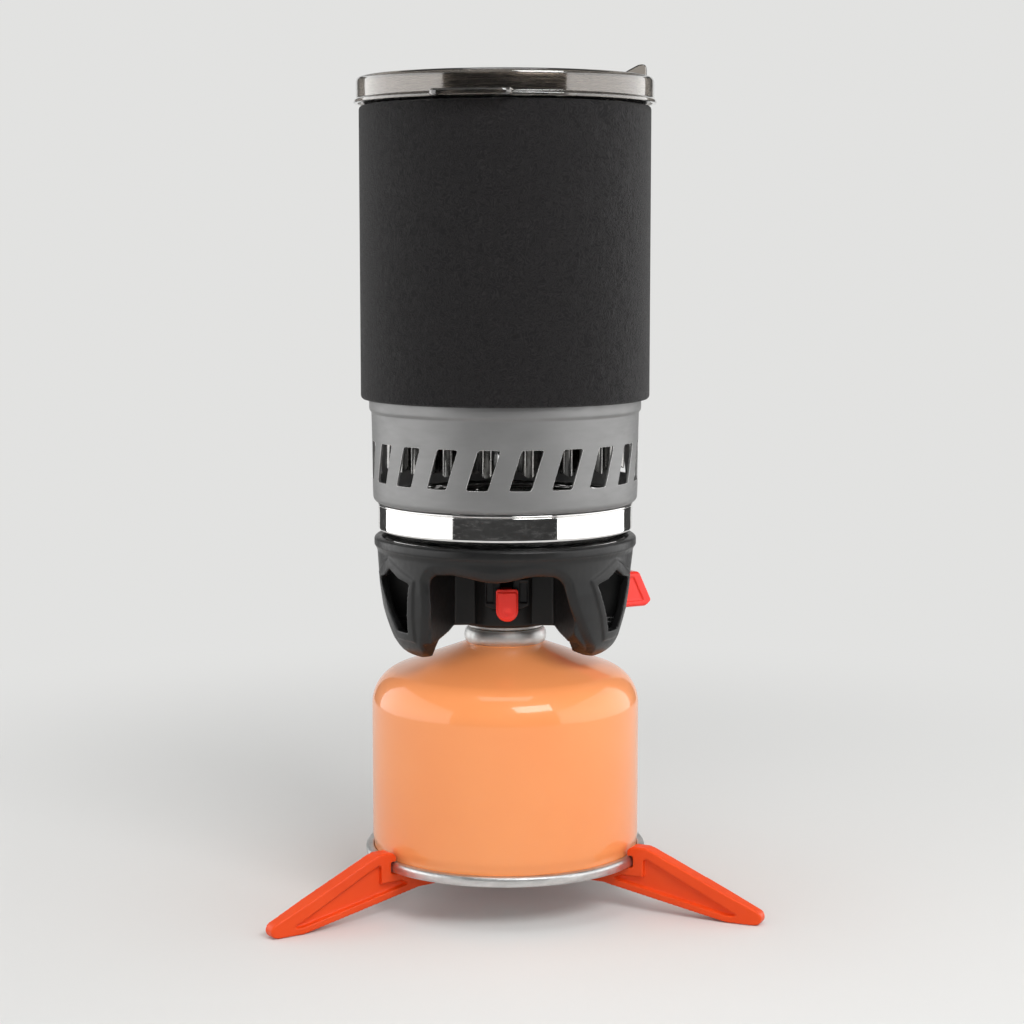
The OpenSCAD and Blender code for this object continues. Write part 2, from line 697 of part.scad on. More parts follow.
// Spark electrode: a wire in the sleeve, bent towards the burner head
module spark_electrode() placed("silver") rotate(electrode_at) translate([0, -electrode_r, 0]) {
    tip_z = tube_top + 5.5;
    translate([0, 0, floor_top]) cylinder(r = electrode_wire, h = tip_z - floor_top);
    translate([0, 0, tip_z]) sphere(r = electrode_wire);
    translate([0, 0, tip_z]) rotate([-90, 0, 0])
        cylinder(r = electrode_wire, h = electrode_r - head_r - 2);
}

// ---- Burner base ----

base_bore_r = 15;
arch_top = base_foot_z + arch_h;
body_r = flange_r - 1.2;
tunnel_near = housing_r - 4.6;
window_z = base_foot_z + 22.7;

// Outside of the base, from a foot's underside up to the top flange, offset outwards by d
function base_side(d) = concat(
    [[body_r - 13, base_foot_z]],
    arc(body_r - 16, base_foot_z + 10.5, 12 + d, -61, -12, 6),
    [[body_r - 3.1 + d, base_foot_z + 12.8], [body_r - 2 + d, base_foot_z + 17.6]],
    [[body_r - 0.8 + d, base_foot_z + 27.1], [body_r - 0.5 + d, base_foot_z + 32.1]],
    [[body_r + d, base_top - flange_h - 2.4], [flange_r - 0.6 + d, base_top - flange_h - 0.6]],
    [[flange_r + d, base_top - flange_h], [flange_r + d, base_top - 1], [flange_r - 1 + d, base_top]]
);

// Inner edge of a leg on its middle line, from the housing's top down to the foot
function base_under() = [
    [housing_r, floor_low - 8], [housing_r, housing_low + 0.8], [body_r - 27, housing_low + 0.6],
    [body_r - 22, housing_low - 1], [body_r - 18.4, housing_low - 5],
    [body_r - 16.4, base_foot_z + 3.4], [body_r - 14, base_foot_z + 0.9]
];

// Points of an outline pushed across as they rise, by the lean of the base's openings; none at height z
function leant(points, z) = [for (p = points) [p[0] - (p[1] - z) * tan(base_lean), p[1]]];

// Opening of an arch as (across, height), grown by g: a shouldered brow with a dip, sides that spread
module arch_outline(g) {
    brow = [for (i = [0:8]) let (x = arch_w * 0.66 * i / 8)
        [x, arch_top + g - brow_dip / 2 - brow_dip / 2 * cos(180 * i / 8)]];
    side = concat(
        brow,
        arc(arch_w - 5.4, arch_top - 5.6, 5.4 + g, 70, 0, 5),
        [[arch_w + 0.7 + g, arch_top - 13], [arch_w + 2.6 + g, arch_top - 22], [arch_w + 4 + g, arch_top - 28]],
        [[arch_w + 4.4 + g, base_foot_z + 5], [arch_w + 3.4 + g, base_foot_z + 2]],
        [[arch_w + 1.6 + g, base_foot_z - 0.6], [arch_w + g, base_foot_z - 5]]
    );
    polygon(leant(concat(mirrored(side), side), base_foot_z + arch_h / 2));
}

// Plan of an arch's tunnel, grown by g: it narrows towards the housing
module tunnel_plan(g) {
    far_y = flange_r + 12;
    near = tunnel_near + g;
    far = near + far_y * tan(arch_spread);
    polygon([[-near, 0], [-far, -far_y], [far, -far_y], [near, 0]]);
}

// Window of a leg, grown by g: five-sided, with its point up and a narrow foot
function window_outline(g) = leant([
    [0, window_z + window_h / 2 + g * 1.2],
    [window_w / 4 + g * 0.7, window_z + window_h / 2 - 3.2 + g],
    [window_w / 2 + g, window_z + window_h / 2 - 4.6 + g * 0.5],
    [4 + g * 0.8, window_z - window_h / 2 - g],
    [-4 - g * 0.8, window_z - window_h / 2 - g],
    [-window_w / 2 - g, window_z + window_h / 2 - 4.6 + g * 0.5],
    [-window_w / 4 - g * 0.7, window_z + window_h / 2 - 3.2 + g]
], window_z + window_h * 0.4);

// What the arches take away: the tunnels, the lips along their edges, and the undersides of their walls
module arch_cuts() {
    web_depth = 4;
    web_out = 7;
    for (i = [0:2]) rotate(120 * i) {
        intersection() {
            radial_cut(0, base_bore_r, flange_r + 8) arch_outline(0);
            translate([0, 0, base_foot_z - 6]) linear_extrude(base_h) tunnel_plan(0);
        }
        for (k = [[1, 0.35], [0.75, 0.75], [0.5, 1.25], [0.25, 1.9]]) difference() {
            radial_cut(0, housing_r + 8, flange_r + 8) arch_outline(lip_w * k[0]);
            rotate_extrude() polygon(concat([[0, base_foot_z - 4]], base_side(-k[1]), [[0, base_top]]));
        }
        for (side = [-1, 1]) mirror([side > 0 ? 0 : 1, 0, 0]) translate([tunnel_near, 0, 0])
            rotate(-90 + arch_spread) rotate([90, 0, 0]) translate([0, 0, -web_depth])
                linear_extrude(web_depth + web_out) polygon([
                    [4, base_foot_z - 4], [4, housing_low + 0.9], [16, housing_low + 0.8],
                    [21, housing_low - 0.8], [body_r - 12.6, base_foot_z + 6], [body_r - 2, base_foot_z + 2.6],
                    [body_r - 2, base_foot_z - 4]
                ]);
    }
}

// What rounds a foot off on both sides, as seen along its leg: a curve that steepens towards the edges
module foot_cuts() {
    flat = 3;
    reach = foot_w / 2 - flat;
    curve = [for (t = [0:0.2:1.2]) [flat + reach * t, base_foot_z - 0.1 + foot_round * pow(t, 1.6)]];
    cut = concat(
        [[flat, base_foot_z - 3]],
        curve,
        [[foot_w, base_foot_z + 1.3 * foot_round], [foot_w, base_foot_z - 3]]
    );
    for (i = [0:2], side = [-1, 1]) rotate(60 + 120 * i) radial_cut(0, body_r - 26, flange_r + 8)
        polygon(leant([for (p = cut) [side * p[0], p[1]]], base_foot_z + arch_h / 2));
}

// Hollow of one leg, behind its window: thin walls above, thicker ones where the tunnel's edge rises
module leg_pocket() {
    pocket_r = body_r - base_wall;
    split_z = housing_low + 2.5;
    for (zone = [[base_foot_z - 6, split_z, base_wall + 4], [split_z - 0.01, floor_low + 4, base_wall]])
        difference() {
            intersection() {
                rotate_extrude() polygon([
                    [housing_r + base_wall + 0.8, housing_low + base_wall + 1.4],
                    [body_r - 20, housing_low + base_wall - 0.2], [body_r - 15.8, housing_low - 2],
                    [body_r - 13.4, base_foot_z + 3.4], [body_r - 10.6, base_foot_z + 3.8],
                    [pocket_r - 4.6, base_foot_z + 9.6], [pocket_r - 2, base_foot_z + 17.6],
                    [pocket_r - 0.5, base_foot_z + 32.5],
                    [pocket_r - 0.5, floor_low - 1.2], [housing_r + base_wall + 0.8, floor_low - 1.2]
                ]);
                rotate(180) translate([0, 0, zone[0]]) linear_extrude(zone[1] - zone[0])
                    polygon([[0, 0], [-60, 60], [60, 60]]);
            }
            for (turn = [-60, 60]) rotate(turn) translate([0, 0, base_foot_z - 6]) linear_extrude(base_h)
                tunnel_plan(zone[2]);
        }
}

module burner_base() placed(PLASTIC_BLACK) rotate(base_turn) {
    socket_in_r = shield_in_r + shield_wall;
    difference() {
        union() {
            rotate_extrude() polygon(concat(
                base_side(0),
                [[socket_in_r, base_top], [socket_in_r, floor_top]],
                [[base_bore_r, floor_top], [base_bore_r, floor_low], [housing_r, floor_low]],
                base_under()
            ));
            for (i = [0:2]) rotate(60 + 120 * i) intersection() {
                rotate_extrude() polygon(concat(
                    base_side(window_rim),
                    [[body_r - 8, base_top - 6], [body_r - 8, base_foot_z + 5]]
                ));
                radial_cut(0, body_r - 18, flange_r + 8) polygon(window_outline(window_frame_w));
            }
        }
        arch_cuts();
        foot_cuts();
        for (i = [0:2]) rotate(60 + 120 * i) {
            radial_cut(0, body_r - 8, flange_r + 8) polygon(window_outline(0));
            leg_pocket();
            translate([0, -screw_ring_r, 0]) tube(screw_r, 0, floor_low - 3, floor_top + 1);
        }
    }
}

screw_r = 1.5;
screw_ring_r = 38;

// Three screws that hold the windshield cup down on the base
module base_screws() placed("silver") for (i = [0:2])
    rotate(base_turn + 60 + 120 * i) translate([0, -screw_ring_r, 0]) {
        tube(screw_r, 0, floor_low - 0.8, cup_floor + shield_wall + 0.5);
        translate([0, 0, cup_floor + shield_wall]) difference() {
            cylinder(r1 = 2.9, r2 = 2.2, h = 1.6);
            translate([-2, -0.4, 0.9]) cube([4, 0.8, 2]);
            translate([-0.4, -2, 0.9]) cube([0.8, 4, 2]);
        }
    }

// ---- Windshield cup and burner head ----

shield_in_r = shield_r - 1.7;
cup_floor = floor_top + 1.7;
band_low = base_top + 1.4;
band_top = band_low + shield_band_h;
seat_z = band_top + 2.2;
floor_hole_r = 13;

// Polished cup: its lower wall sits in the base, its bright band and rolled edge carry the pot
module windshield_cup() placed("lightgray") {
    w = shield_wall;
    difference() {
        rotate_extrude() polygon(concat(
            [[floor_hole_r, cup_floor], [shield_in_r - 2.6, cup_floor], [shield_in_r - 2, floor_top]],
            [[shield_in_r + w, floor_top], [shield_in_r + w, band_low - 0.8]],
            [[shield_r - 0.3, band_low], [shield_r, band_low + 0.6], [shield_r, band_top]],
            arc(shield_r + 0.3, seat_z - 0.45, 0.45, -90, 90, 4),
            [[shield_r - 0.8, seat_z], [shield_r - 0.8, seat_z + 3.2], [shield_r - 0.8 - w, seat_z + 3.2]],
            [[shield_r - 0.8 - w, seat_z - w], [shield_r - w, band_top - 0.3], [shield_r - w, band_low + 0.9]],
            [[shield_in_r, band_low - 0.2], [shield_in_r, floor_top + w], [shield_in_r - 1.6, floor_top + w]],
            [[shield_in_r - 2.2, cup_floor + w], [floor_hole_r + w, cup_floor + w]],
            [[floor_hole_r + w, cup_floor + 2.4], [floor_hole_r, cup_floor + 2.4]]
        ));
        for (i = [0:2]) rotate(base_turn + 60 + 120 * i) translate([0, -screw_ring_r, 0])
            tube(screw_r, 0, cup_floor - 1, cup_floor + 2);
        for (i = [0:11]) rotate(15 + 30 * i) translate([0, -22, 0]) tube(2.6, 0, cup_floor - 1, cup_floor + 2);
        rotate(electrode_at) translate([0, -electrode_r, 0]) tube(sleeve_r, 0, cup_floor - 1, cup_floor + 2);
    }
}

head_low = tube_top - 2;
head_h = 10.4;
head_round = 4;
head_wall = 0.7;

// Burner head: a spun bowl on the mixing tube
module burner_head() placed("silver") {
    round_z = head_low + head_h - head_round;
    floor_z = round_z - head_round;
    rotate_extrude() polygon(concat(
        [[tube_r, head_low - 2.4], [tube_r + head_wall, head_low - 2.4], [tube_r + head_wall, head_low]],
        [[head_r - head_round * 1.5, floor_z]],
        arc(head_r - head_round, round_z, head_round, -60, 0, 4),
        [[head_r, head_low + head_h], [head_r - head_wall, head_low + head_h], [head_r - head_wall, round_z + 0.2]],
        arc(head_r - head_round, round_z, head_round - head_wall, 0, -60, 4),
        [[head_r - head_round * 1.5, floor_z + 0.8], [tube_r, head_low + 0.8]]
    ));
}

// Domed plate over the burner head, drilled with rings of flame ports
module port_plate() placed("gray") {
    plate_z = head_low + 9;
    difference() {
        translate([0, 0, plate_z]) rotate_extrude() polygon([
            [0, 1.2], [head_r - 5, 0.4], [head_r - 0.7, 0], [head_r - 0.7, 0.8], [head_r - 5, 1.3], [0, 2.1]
        ]);
        for (ring = [1:port_rings], i = [0:6 * ring - 1])
            rotate(360 * i / (6 * ring)) translate([0, -ring * (head_r - 3.5) / (port_rings + 0.2), 0])
                tube(port_r, 0, plate_z - 1, plate_z + 4);
    }
}

// ---- Heat exchanger ----

skirt_low = seat_z + gap;
skirt_top = skirt_low + skirt_h;
wall_top_r = collar_r - 0.9;
wall_low_r = collar_r - 1.4;
pot_floor = skirt_top - 12.9;
slot_mid_z = skirt_low + 16.8;

// Outside of the skirt, offset inwards by d
function skirt_side(d) = concat(
    [[shield_r + 0.1, skirt_low + d]],
    arc(wall_low_r - 2.4, skirt_low + 2.4, 2.4 - d, -75, 0, 4),
    [[wall_top_r - d, skirt_top - 7.3], [collar_r - d, skirt_top - 6.1], [collar_r - d, skirt_top]]
);

// Slot outline as (across, height): a parallelogram with rounded corners that leans to the right
module slot_outline() {
    c = 1;
    lean = slot_lean / slot_h;
    corners = [[1, 1, 0], [-1, 1, 90], [-1, -1, 180], [1, -1, 270]];
    polygon([for (k = corners, p = arc(k[0] * (slot_w / 2 - c), k[1] * (slot_h / 2 - c), c, k[2], k[2] + 90, 3))
        [p[0] + p[1] * lean, p[1] + slot_mid_z]]);
}

module fin_skirt() placed("gray") {
    outer = skirt_side(0);
    inner = skirt_side(skirt_wall);
    difference() {
        rotate_extrude() polygon(concat(outer, [for (i = [len(inner) - 1:-1:0]) inner[i]]));
        for (i = [0:slot_count - 1])
            radial_cut(360 * (i + 0.5) / slot_count, wall_low_r - 6, wall_top_r + 4) slot_outline();
    }
}

// A straight-sided slot shape, round at its outer end: half-width r, from y = -from to y = -to
module hairpin(r, from, to) {
    translate([0, -to + r]) circle(r = r, $fn = 40);
    translate([-r, -to + r]) square([2 * r, to - r - from]);
}

// Folded fins under the pot's floor: each is a hairpin of sheet with a rounded lower end
module fin_ring() placed("lightgray") {
    fin_in = 34;
    fin_out = wall_low_r - 5;
    fin_r = 2.3;
    sheet = 0.5;
    low = pot_floor - fin_drop;
    for (i = [0:fin_count - 1]) rotate(1.5 + 360 * i / fin_count) intersection() {
        translate([0, 0, low]) linear_extrude(fin_drop) difference() {
            hairpin(fin_r, fin_in, fin_out);
            hairpin(fin_r - sheet, fin_in - 1, fin_out - sheet);
        }
        translate([0, 1 - fin_in, 0]) rotate([90, 0, 0]) linear_extrude(fin_out - fin_in + 2)
            hairpin(fin_r, -pot_floor, -low);
    }
    tube(fin_out - fin_r, fin_in, pot_floor - sheet, pot_floor);
}

// ---- Pot, cozy and handles ----

pot_base_r = collar_r - skirt_wall - 0.1;
pot_top = pot_floor + pot_h;
rim_step = pot_top - pot_rim_h;

// Outside of the pot, offset inwards by d, from the floor's edge up to the rim
function pot_side(d) = concat(
    arc(wall_top_r - skirt_wall - 6.1, pot_floor + 6, 6 - d, -80, -10, 5),
    [[wall_top_r - skirt_wall - 0.15 - d, skirt_top - 7.4 + d * 0.3], [pot_base_r - d, skirt_top - 6 + d * 0.3]],
    [[pot_base_r - d, skirt_top + 0.4], [pot_r - d, skirt_top + 1.4]],
    [[pot_r - d, rim_step], [rim_r - d, rim_step + 1.6 + d * 0.3]]
);

module pot_cup() placed("silver") {
    outer = pot_side(0);
    inner = pot_side(pot_wall);
    difference() {
        rotate_extrude() polygon(concat(
            [[0, pot_floor], [outer[0][0], pot_floor]],
            outer,
            [[rim_r, pot_top - 0.9]],
            arc(rim_r - 0.9, pot_top - 0.9, 0.9, 0, 90, 4),
            [[rim_r - 1.5, pot_top], [rim_r - 1.5, pot_top - 0.5], [rim_r - pot_wall, pot_top - 1.4]],
            [for (i = [len(inner) - 1:-1:0]) inner[i]],
            [[inner[0][0], pot_floor + pot_wall], [0, pot_floor + pot_wall]]
        ));
        at_rivets() cylinder(r = rivet_r, h = 8);
    }
}

// Neoprene sleeve round the pot, with a window for the handle bracket
cozy_low = skirt_top - 2.3;
cozy_top = rim_step - 0.1;
module cozy() placed("#2a2829") {
    difference() {
        rotate_extrude() polygon([
            [pot_r + 0.05, cozy_low + 0.6], [pot_r + cozy_t - 1.4, cozy_low], [pot_r + cozy_t, cozy_low + 2],
            [pot_r + cozy_t, cozy_top - 2], [pot_r + cozy_t - 0.6, cozy_top], [pot_r + 0.05, cozy_top]
        ]);
        rotate(handle_azimuth) translate([-bracket_w / 2 - 1.5, -pot_r - 10, bracket_low - 2])
            cube([bracket_w + 3, 14, bracket_h + 4]);
    }
}

bracket_w = 25;
bracket_t = 1.2;
lug_t = 2;
handle_mid = pot_floor + pot_h * 0.53;
bracket_h = handle_h - 2;
bracket_low = handle_mid - bracket_h / 2;
pivot_x = 5.5;
pivot_r = pot_r + cozy_t + wire_r + 2.2;
pivot_y = sqrt(pow(pivot_r, 2) - pow(pivot_x, 2));
lug_z = handle_h / 2 - 5;
rivet_r = 1.6;

// Children at each rivet's place, pointing out along the radius
module at_rivets() for (x = [-8, 8], z = [-16, 16])
    rotate(handle_azimuth + asin(x / pot_r)) translate([0, -pot_r + 3, handle_mid + z]) rotate([90, 0, 0])
        children();

// Bracket: a curved plate on the pot's wall, and two lugs bored for the handles' ends
module handle_bracket() placed("silver") {
    arc_half = asin(bracket_w / 2 / pot_r);
    difference() {
        union() {
            translate([0, 0, bracket_low]) rotate(handle_azimuth - arc_half - 90)
                rotate_extrude(angle = 2 * arc_half) translate([pot_r + 0.03, 0]) square([bracket_t, bracket_h]);
            for (s = [-1, 1]) rotate(handle_azimuth) translate([0, 0, handle_mid + s * lug_z - lug_t / 2])
                linear_extrude(lug_t) polygon([
                    [-9.5, -pot_r - 0.6], [9.5, -pot_r - 0.6], [9.5, -pivot_y], [7.5, -pivot_y - 3.4],
                    [-7.5, -pivot_y - 3.4], [-9.5, -pivot_y]
                ]);
        }
        at_rivets() cylinder(r = rivet_r, h = 8);
        rotate(handle_azimuth) for (x = [-pivot_x, pivot_x]) translate([x, -pivot_y, handle_mid - handle_h / 2])
            cylinder(r = wire_r + run, h = handle_h);
    }
}

module bracket_rivets() placed("silver") at_rivets() {
    wall_in = 3 - pot_wall;
    head_out = 3 + bracket_t + 0.15;
    translate([0, 0, wall_in - 0.8]) cylinder(r1 = rivet_r + 0.7, r2 = rivet_r + 1.3, h = 0.75);
    translate([0, 0, wall_in - 0.1]) cylinder(r = rivet_r, h = head_out - wall_in + 0.2);
    translate([0, 0, head_out]) cylinder(r1 = rivet_r + 1.3, r2 = rivet_r + 0.6, h = 0.8);
}

// How far a handle's first stretch leans towards its twin when they are open
handle_lean = 15;
// How far the upset corners of the wire stand out
corner_bead = 0.15;

// Children at the far end of a handle's arms, heading along +Y there
module at_grip() translate([pivot_r, 0, 0]) rotate(-handle_wrap) translate([-pivot_r, 0, 0]) children();

// A wire handle about its own pivot (+Y out, bending to the right): two curved arms joined by an
// upright grip, whose ends turn into the lugs
module handle_wire(side) {
    half = handle_h / 2 - wire_r;
    mirror([side > 0 ? 0 : 1, 0, 0]) rotate(handle_lean) {
        for (s = [-1, 1]) {
            translate([pivot_r, 0, s * half]) rotate(180 - handle_wrap)
                rotate_extrude(angle = handle_wrap) translate([pivot_r, 0]) circle(r = wire_r);
            translate([0, 0, s * half]) sphere(r = wire_r + corner_bead);
            translate([0, 0, s > 0 ? half - 8 : -half]) cylinder(r = wire_r, h = 8);
        }
        at_grip() {
            translate([0, 0, -half]) cylinder(r = wire_r, h = 2 * half);
            for (s = [-1, 1]) translate([0, 0, s * half]) sphere(r = wire_r + corner_bead);
        }
    }
}

// Rubber sleeve on a handle's upright grip
module handle_sleeve(side) {
    half = handle_h / 2 - 2 * wire_r - 2;
    mirror([side > 0 ? 0 : 1, 0, 0]) rotate(handle_lean) at_grip() difference() {
        rotate_extrude() polygon([
            [0, -half], [wire_r + sleeve_t - 0.6, -half], [wire_r + sleeve_t, -half + 0.8],
            [wire_r + sleeve_t, half - 0.8], [wire_r + sleeve_t - 0.6, half], [0, half]
        ]);
        translate([0, 0, -half - 1]) cylinder(r = wire_r, h = 2 * half + 2);
    }
}

// Puts a handle at its pivot; seen from outside the pot, the side that is left is +X of the bracket
module at_pivot(side) rotate(handle_azimuth + 180) translate([side * pivot_x, pivot_y, handle_mid]) children();

module left_handle() placed("silver") at_pivot(-1) handle_wire(-1);
module right_handle() placed("silver") at_pivot(1) handle_wire(1);
module left_sleeve() placed("black") at_pivot(-1) handle_sleeve(-1);
module right_sleeve() placed("black") at_pivot(1) handle_sleeve(1);

// ---- Lid ----

lid_in_r = rim_r + gap;
lid_r = lid_in_r + 0.85;
lid_top = pot_top + gap + lid_t;
lid_low = lid_top - lid_skirt_h;
plug_r = rim_r - 1.5 - gap;
drink_azimuth = tab_azimuth + 180;

// Lid: a recessed deck, an edge that caps the pot's rim, a plug inside it, a lift tab and a fin
module lid() placed([0.75, 0.74, 0.72, 0.55]) {
    deck_top = lid_top - deck_drop;
    difference() {
        union() {
            rotate_extrude() polygon([
                [0, deck_top - lid_t], [plug_r - 3, deck_top - lid_t], [plug_r - 1.2, deck_top - lid_t - 1.6],
                [plug_r - 0.4, deck_top - lid_t - 1.6], [plug_r, deck_top - lid_t - 0.8],
                [plug_r, pot_top + gap], [lid_in_r, pot_top + gap], [lid_in_r, lid_low],
                [lid_r + 0.9, lid_low], [lid_r + 0.9, lid_low + 1.3], [lid_r, lid_low + 1.7],
                [lid_r, lid_top - 1.5], [lid_r - 0.5, lid_top - 0.4], [lid_r - 1.4, lid_top],
                [plug_r - 1, lid_top], [plug_r - 2, deck_top], [0, deck_top]
            ]);
            rotate(tab_azimuth) difference() {
                translate([0, 0, lid_low]) linear_extrude(2.2) polygon(concat(
                    arc(tab_w / 2 - 4, -lid_r - tab_out + 4, 4, 0, -90, 5),
                    arc(-tab_w / 2 + 4, -lid_r - tab_out + 4, 4, -90, -180, 5),
                    [[-tab_w / 2, -lid_r + 3], [tab_w / 2, -lid_r + 3]]
                ));
                tube(lid_in_r + 0.3, 0, lid_low - 1, lid_low + 4);
            }
            rotate(tab_azimuth + 90) translate([-1.1, 0, 0]) rotate([90, 0, 90]) linear_extrude(2.2) polygon([
                [-lid_r + 2.4, lid_top - 0.5], [-lid_r + 2.4, lid_top + lid_fin_h - 0.9],
                [-lid_r + 3.3, lid_top + lid_fin_h], [-lid_r + 5.4, lid_top + lid_fin_h - 0.2],
                [-lid_r + 12, lid_top + 0.8], [-lid_r + 14.5, deck_top - 0.5], [-plug_r + 1.5, deck_top - 0.5]
            ]);
        }
        rotate(drink_azimuth) translate([0, 0, deck_top - lid_t - 1]) linear_extrude(lid_t + 2) polygon(concat(
            arc(9, -plug_r + 11, 3.6, 90, -90, 6),
            arc(-9, -plug_r + 11, 3.6, -90, -270, 6)
        ));
        for (row = [0:2], i = [-3:3]) if (abs(i) + row < 5)
            rotate(tab_azimuth) translate([i * 6, -plug_r + 9 + row * 5.4 + abs(i) * 0.9, deck_top - lid_t - 1])
                cylinder(r = 1.6, h = lid_t + 2);
    }
}

rear_leg();
left_leg();
right_leg();
hub_pin();
canister_body();
canister_base();
valve_cup();
canister_valve();
valve_stem();
stem_gasket();
seal_ring();
valve_body();
depressor_pin();
seat_ring();
valve_housing();
gas_jet();
mixing_tube();
gland_nut();
burner_base();
base_screws();
windshield_cup();
burner_head();
port_plate();
igniter_frame();
piezo_case();
ignition_lead();
spark_electrode();
electrode_sleeve();
igniter_button();
piezo_plunger();
control_knob();
valve_spindle();
spindle_ring();
pot_cup();
fin_ring();
fin_skirt();
cozy();
handle_bracket();
bracket_rivets();
left_handle();
left_sleeve();
right_handle();
right_sleeve();
lid();
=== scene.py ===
"""Looks of a small hiking stove: an orange gas canister on a folding stand, a burner with a black
moulded base, and a tall pot with a heat exchanger, a neoprene cozy and a clear lid."""

import math

import bmesh
import bpy
import numpy as np
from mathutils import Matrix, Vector


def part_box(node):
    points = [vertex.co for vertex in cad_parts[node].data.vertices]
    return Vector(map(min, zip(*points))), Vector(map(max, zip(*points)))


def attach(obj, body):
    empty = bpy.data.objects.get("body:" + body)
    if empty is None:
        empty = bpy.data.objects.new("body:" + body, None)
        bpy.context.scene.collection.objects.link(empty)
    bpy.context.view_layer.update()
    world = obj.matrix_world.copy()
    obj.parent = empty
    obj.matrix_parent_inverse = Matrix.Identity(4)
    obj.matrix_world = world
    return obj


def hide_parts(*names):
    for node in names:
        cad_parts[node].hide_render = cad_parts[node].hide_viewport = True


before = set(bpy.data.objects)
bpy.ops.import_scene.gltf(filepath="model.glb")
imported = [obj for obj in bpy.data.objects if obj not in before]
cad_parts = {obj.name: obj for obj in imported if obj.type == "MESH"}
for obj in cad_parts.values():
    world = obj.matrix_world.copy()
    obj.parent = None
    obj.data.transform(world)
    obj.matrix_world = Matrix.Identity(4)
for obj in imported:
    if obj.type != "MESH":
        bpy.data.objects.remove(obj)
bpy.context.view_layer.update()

# ---- Studio ----
# A pale floor that fades into an equally pale surround before it reaches the lamps: two wide soft ones
# at the sides, a key lamp, one over the camera and one above. Three black cards, seen by reflections
# alone, give bare metal its dark middle and dark ends.
can_low, can_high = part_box("canister_body")
AXIS = np.array([(can_low.x + can_high.x) / 2, (can_low.y + can_high.y) / 2])
PALE = (0.76, 0.76, 0.75, 1)

LOOKING_DOWN = math.radians(6.8)
camera = bpy.data.objects.new("camera", bpy.data.cameras.new("camera"))
camera.data.lens = 80.1
camera.data.sensor_width = 36
camera.location = (AXIS[0] + 0.0027, AXIS[1] - 0.901, 0.2626)
camera.rotation_euler = (math.radians(90) - LOOKING_DOWN, 0, 0)
bpy.context.collection.objects.link(camera)
bpy.context.scene.camera = camera
bpy.context.scene.view_settings.view_transform = "Standard"


def maths(tree, operation, first, second):
    """Output of a Math node on two terms, each of them a number or another node's output."""
    node = tree.nodes.new("ShaderNodeMath")
    node.operation = operation
    for socket, term in zip(node.inputs, (first, second)):
        if isinstance(term, bpy.types.NodeSocket):
            tree.links.new(term, socket)
        else:
            socket.default_value = term
    return node.outputs[0]


def ramp(tree, value, from_low, from_high, low, high, kind="LINEAR"):
    """The value mapped from one range on to another, and held within it."""
    reach = tree.nodes.new("ShaderNodeMapRange")
    reach.interpolation_type = kind
    for socket, number in zip(("From Min", "From Max", "To Min", "To Max"), (from_low, from_high, low, high)):
        reach.inputs[socket].default_value = number
    tree.links.new(value, reach.inputs["Value"])
    return reach.outputs["Result"]


# The surround is PALE where it is seen, straight on or through the lid. It lights the stove at a third
# of that, and bare metal reflects it darker and darker overhead.
LIGHTING = 0.34
OVERHEAD_DIMMED = 0.85
studio = bpy.data.worlds.new("studio")
bpy.context.scene.world = studio
studio.use_nodes = True
tree = studio.node_tree
tree.nodes["Background"].inputs["Color"].default_value = PALE
rays = tree.nodes.new("ShaderNodeLightPath")
seen = maths(tree, "MAXIMUM", rays.outputs["Is Camera Ray"], rays.outputs["Is Glossy Ray"])
seen = maths(tree, "MAXIMUM", seen, rays.outputs["Is Transmission Ray"])
level = ramp(tree, seen, 0, 1, LIGHTING, 1)
way = tree.nodes.new("ShaderNodeTexCoord")
upwards = tree.nodes.new("ShaderNodeSeparateXYZ")
tree.links.new(way.outputs["Generated"], upwards.inputs[0])
overhead = ramp(tree, upwards.outputs["Z"], 0.22, 0.6, 0, OVERHEAD_DIMMED, "SMOOTHSTEP")
dimmed = maths(tree, "SUBTRACT", 1, maths(tree, "MULTIPLY", overhead, rays.outputs["Is Glossy Ray"]))
tree.links.new(maths(tree, "MULTIPLY", dimmed, level), tree.nodes["Background"].inputs["Strength"])


def soft_lamp(name, azimuth, distance, height, aim, width, tall, watts, mirrored=True):
    """Rectangular lamp at an azimuth in degrees from the front, turned to face the stove's axis at the
    height aim. One that is not mirrored gives light, but shows in no reflection."""
    lamp = bpy.data.lights.new(name, "AREA")
    lamp.shape = "RECTANGLE"
    lamp.size, lamp.size_y, lamp.energy = width, tall, watts
    stand = bpy.data.objects.new(name, lamp)
    a = math.radians(azimuth)
    place = Vector((AXIS[0] + distance * math.sin(a), AXIS[1] - distance * math.cos(a), height))
    stand.location = place
    stand.rotation_euler = (Vector((AXIS[0], AXIS[1], aim)) - place).to_track_quat("-Z", "Y").to_euler()
    stand.visible_camera = False
    stand.visible_glossy = stand.visible_transmission = mirrored
    bpy.context.collection.objects.link(stand)


soft_lamp("left_lamp", -98, 0.6, 0.29, 0.29, 1.5, 0.57, 3.5)
soft_lamp("right_lamp", 97, 0.6, 0.29, 0.29, 1.5, 0.57, 3.3)
soft_lamp("key_lamp", 28, 0.75, 0.74, 0.12, 0.5, 0.36, 4.8)
soft_lamp("front_lamp", -10, 1.5, 0.5, 0.12, 0.9, 0.5, 4.2, mirrored=False)
soft_lamp("top_lamp", 0, 0.12, 1.45, 0.2, 0.7, 0.7, 3.6)

FLOOR_R, FLOOR_Z = 5, -0.0002
radius = np.linspace(0, 1, 30)[:, None] ** 2 * FLOOR_R
turn = np.linspace(0, 2 * np.pi, 96, endpoint=False)
floor_points = np.stack([
    AXIS[0] + radius * np.cos(turn), AXIS[1] + radius * np.sin(turn), FLOOR_Z + 0 * radius * turn], -1)


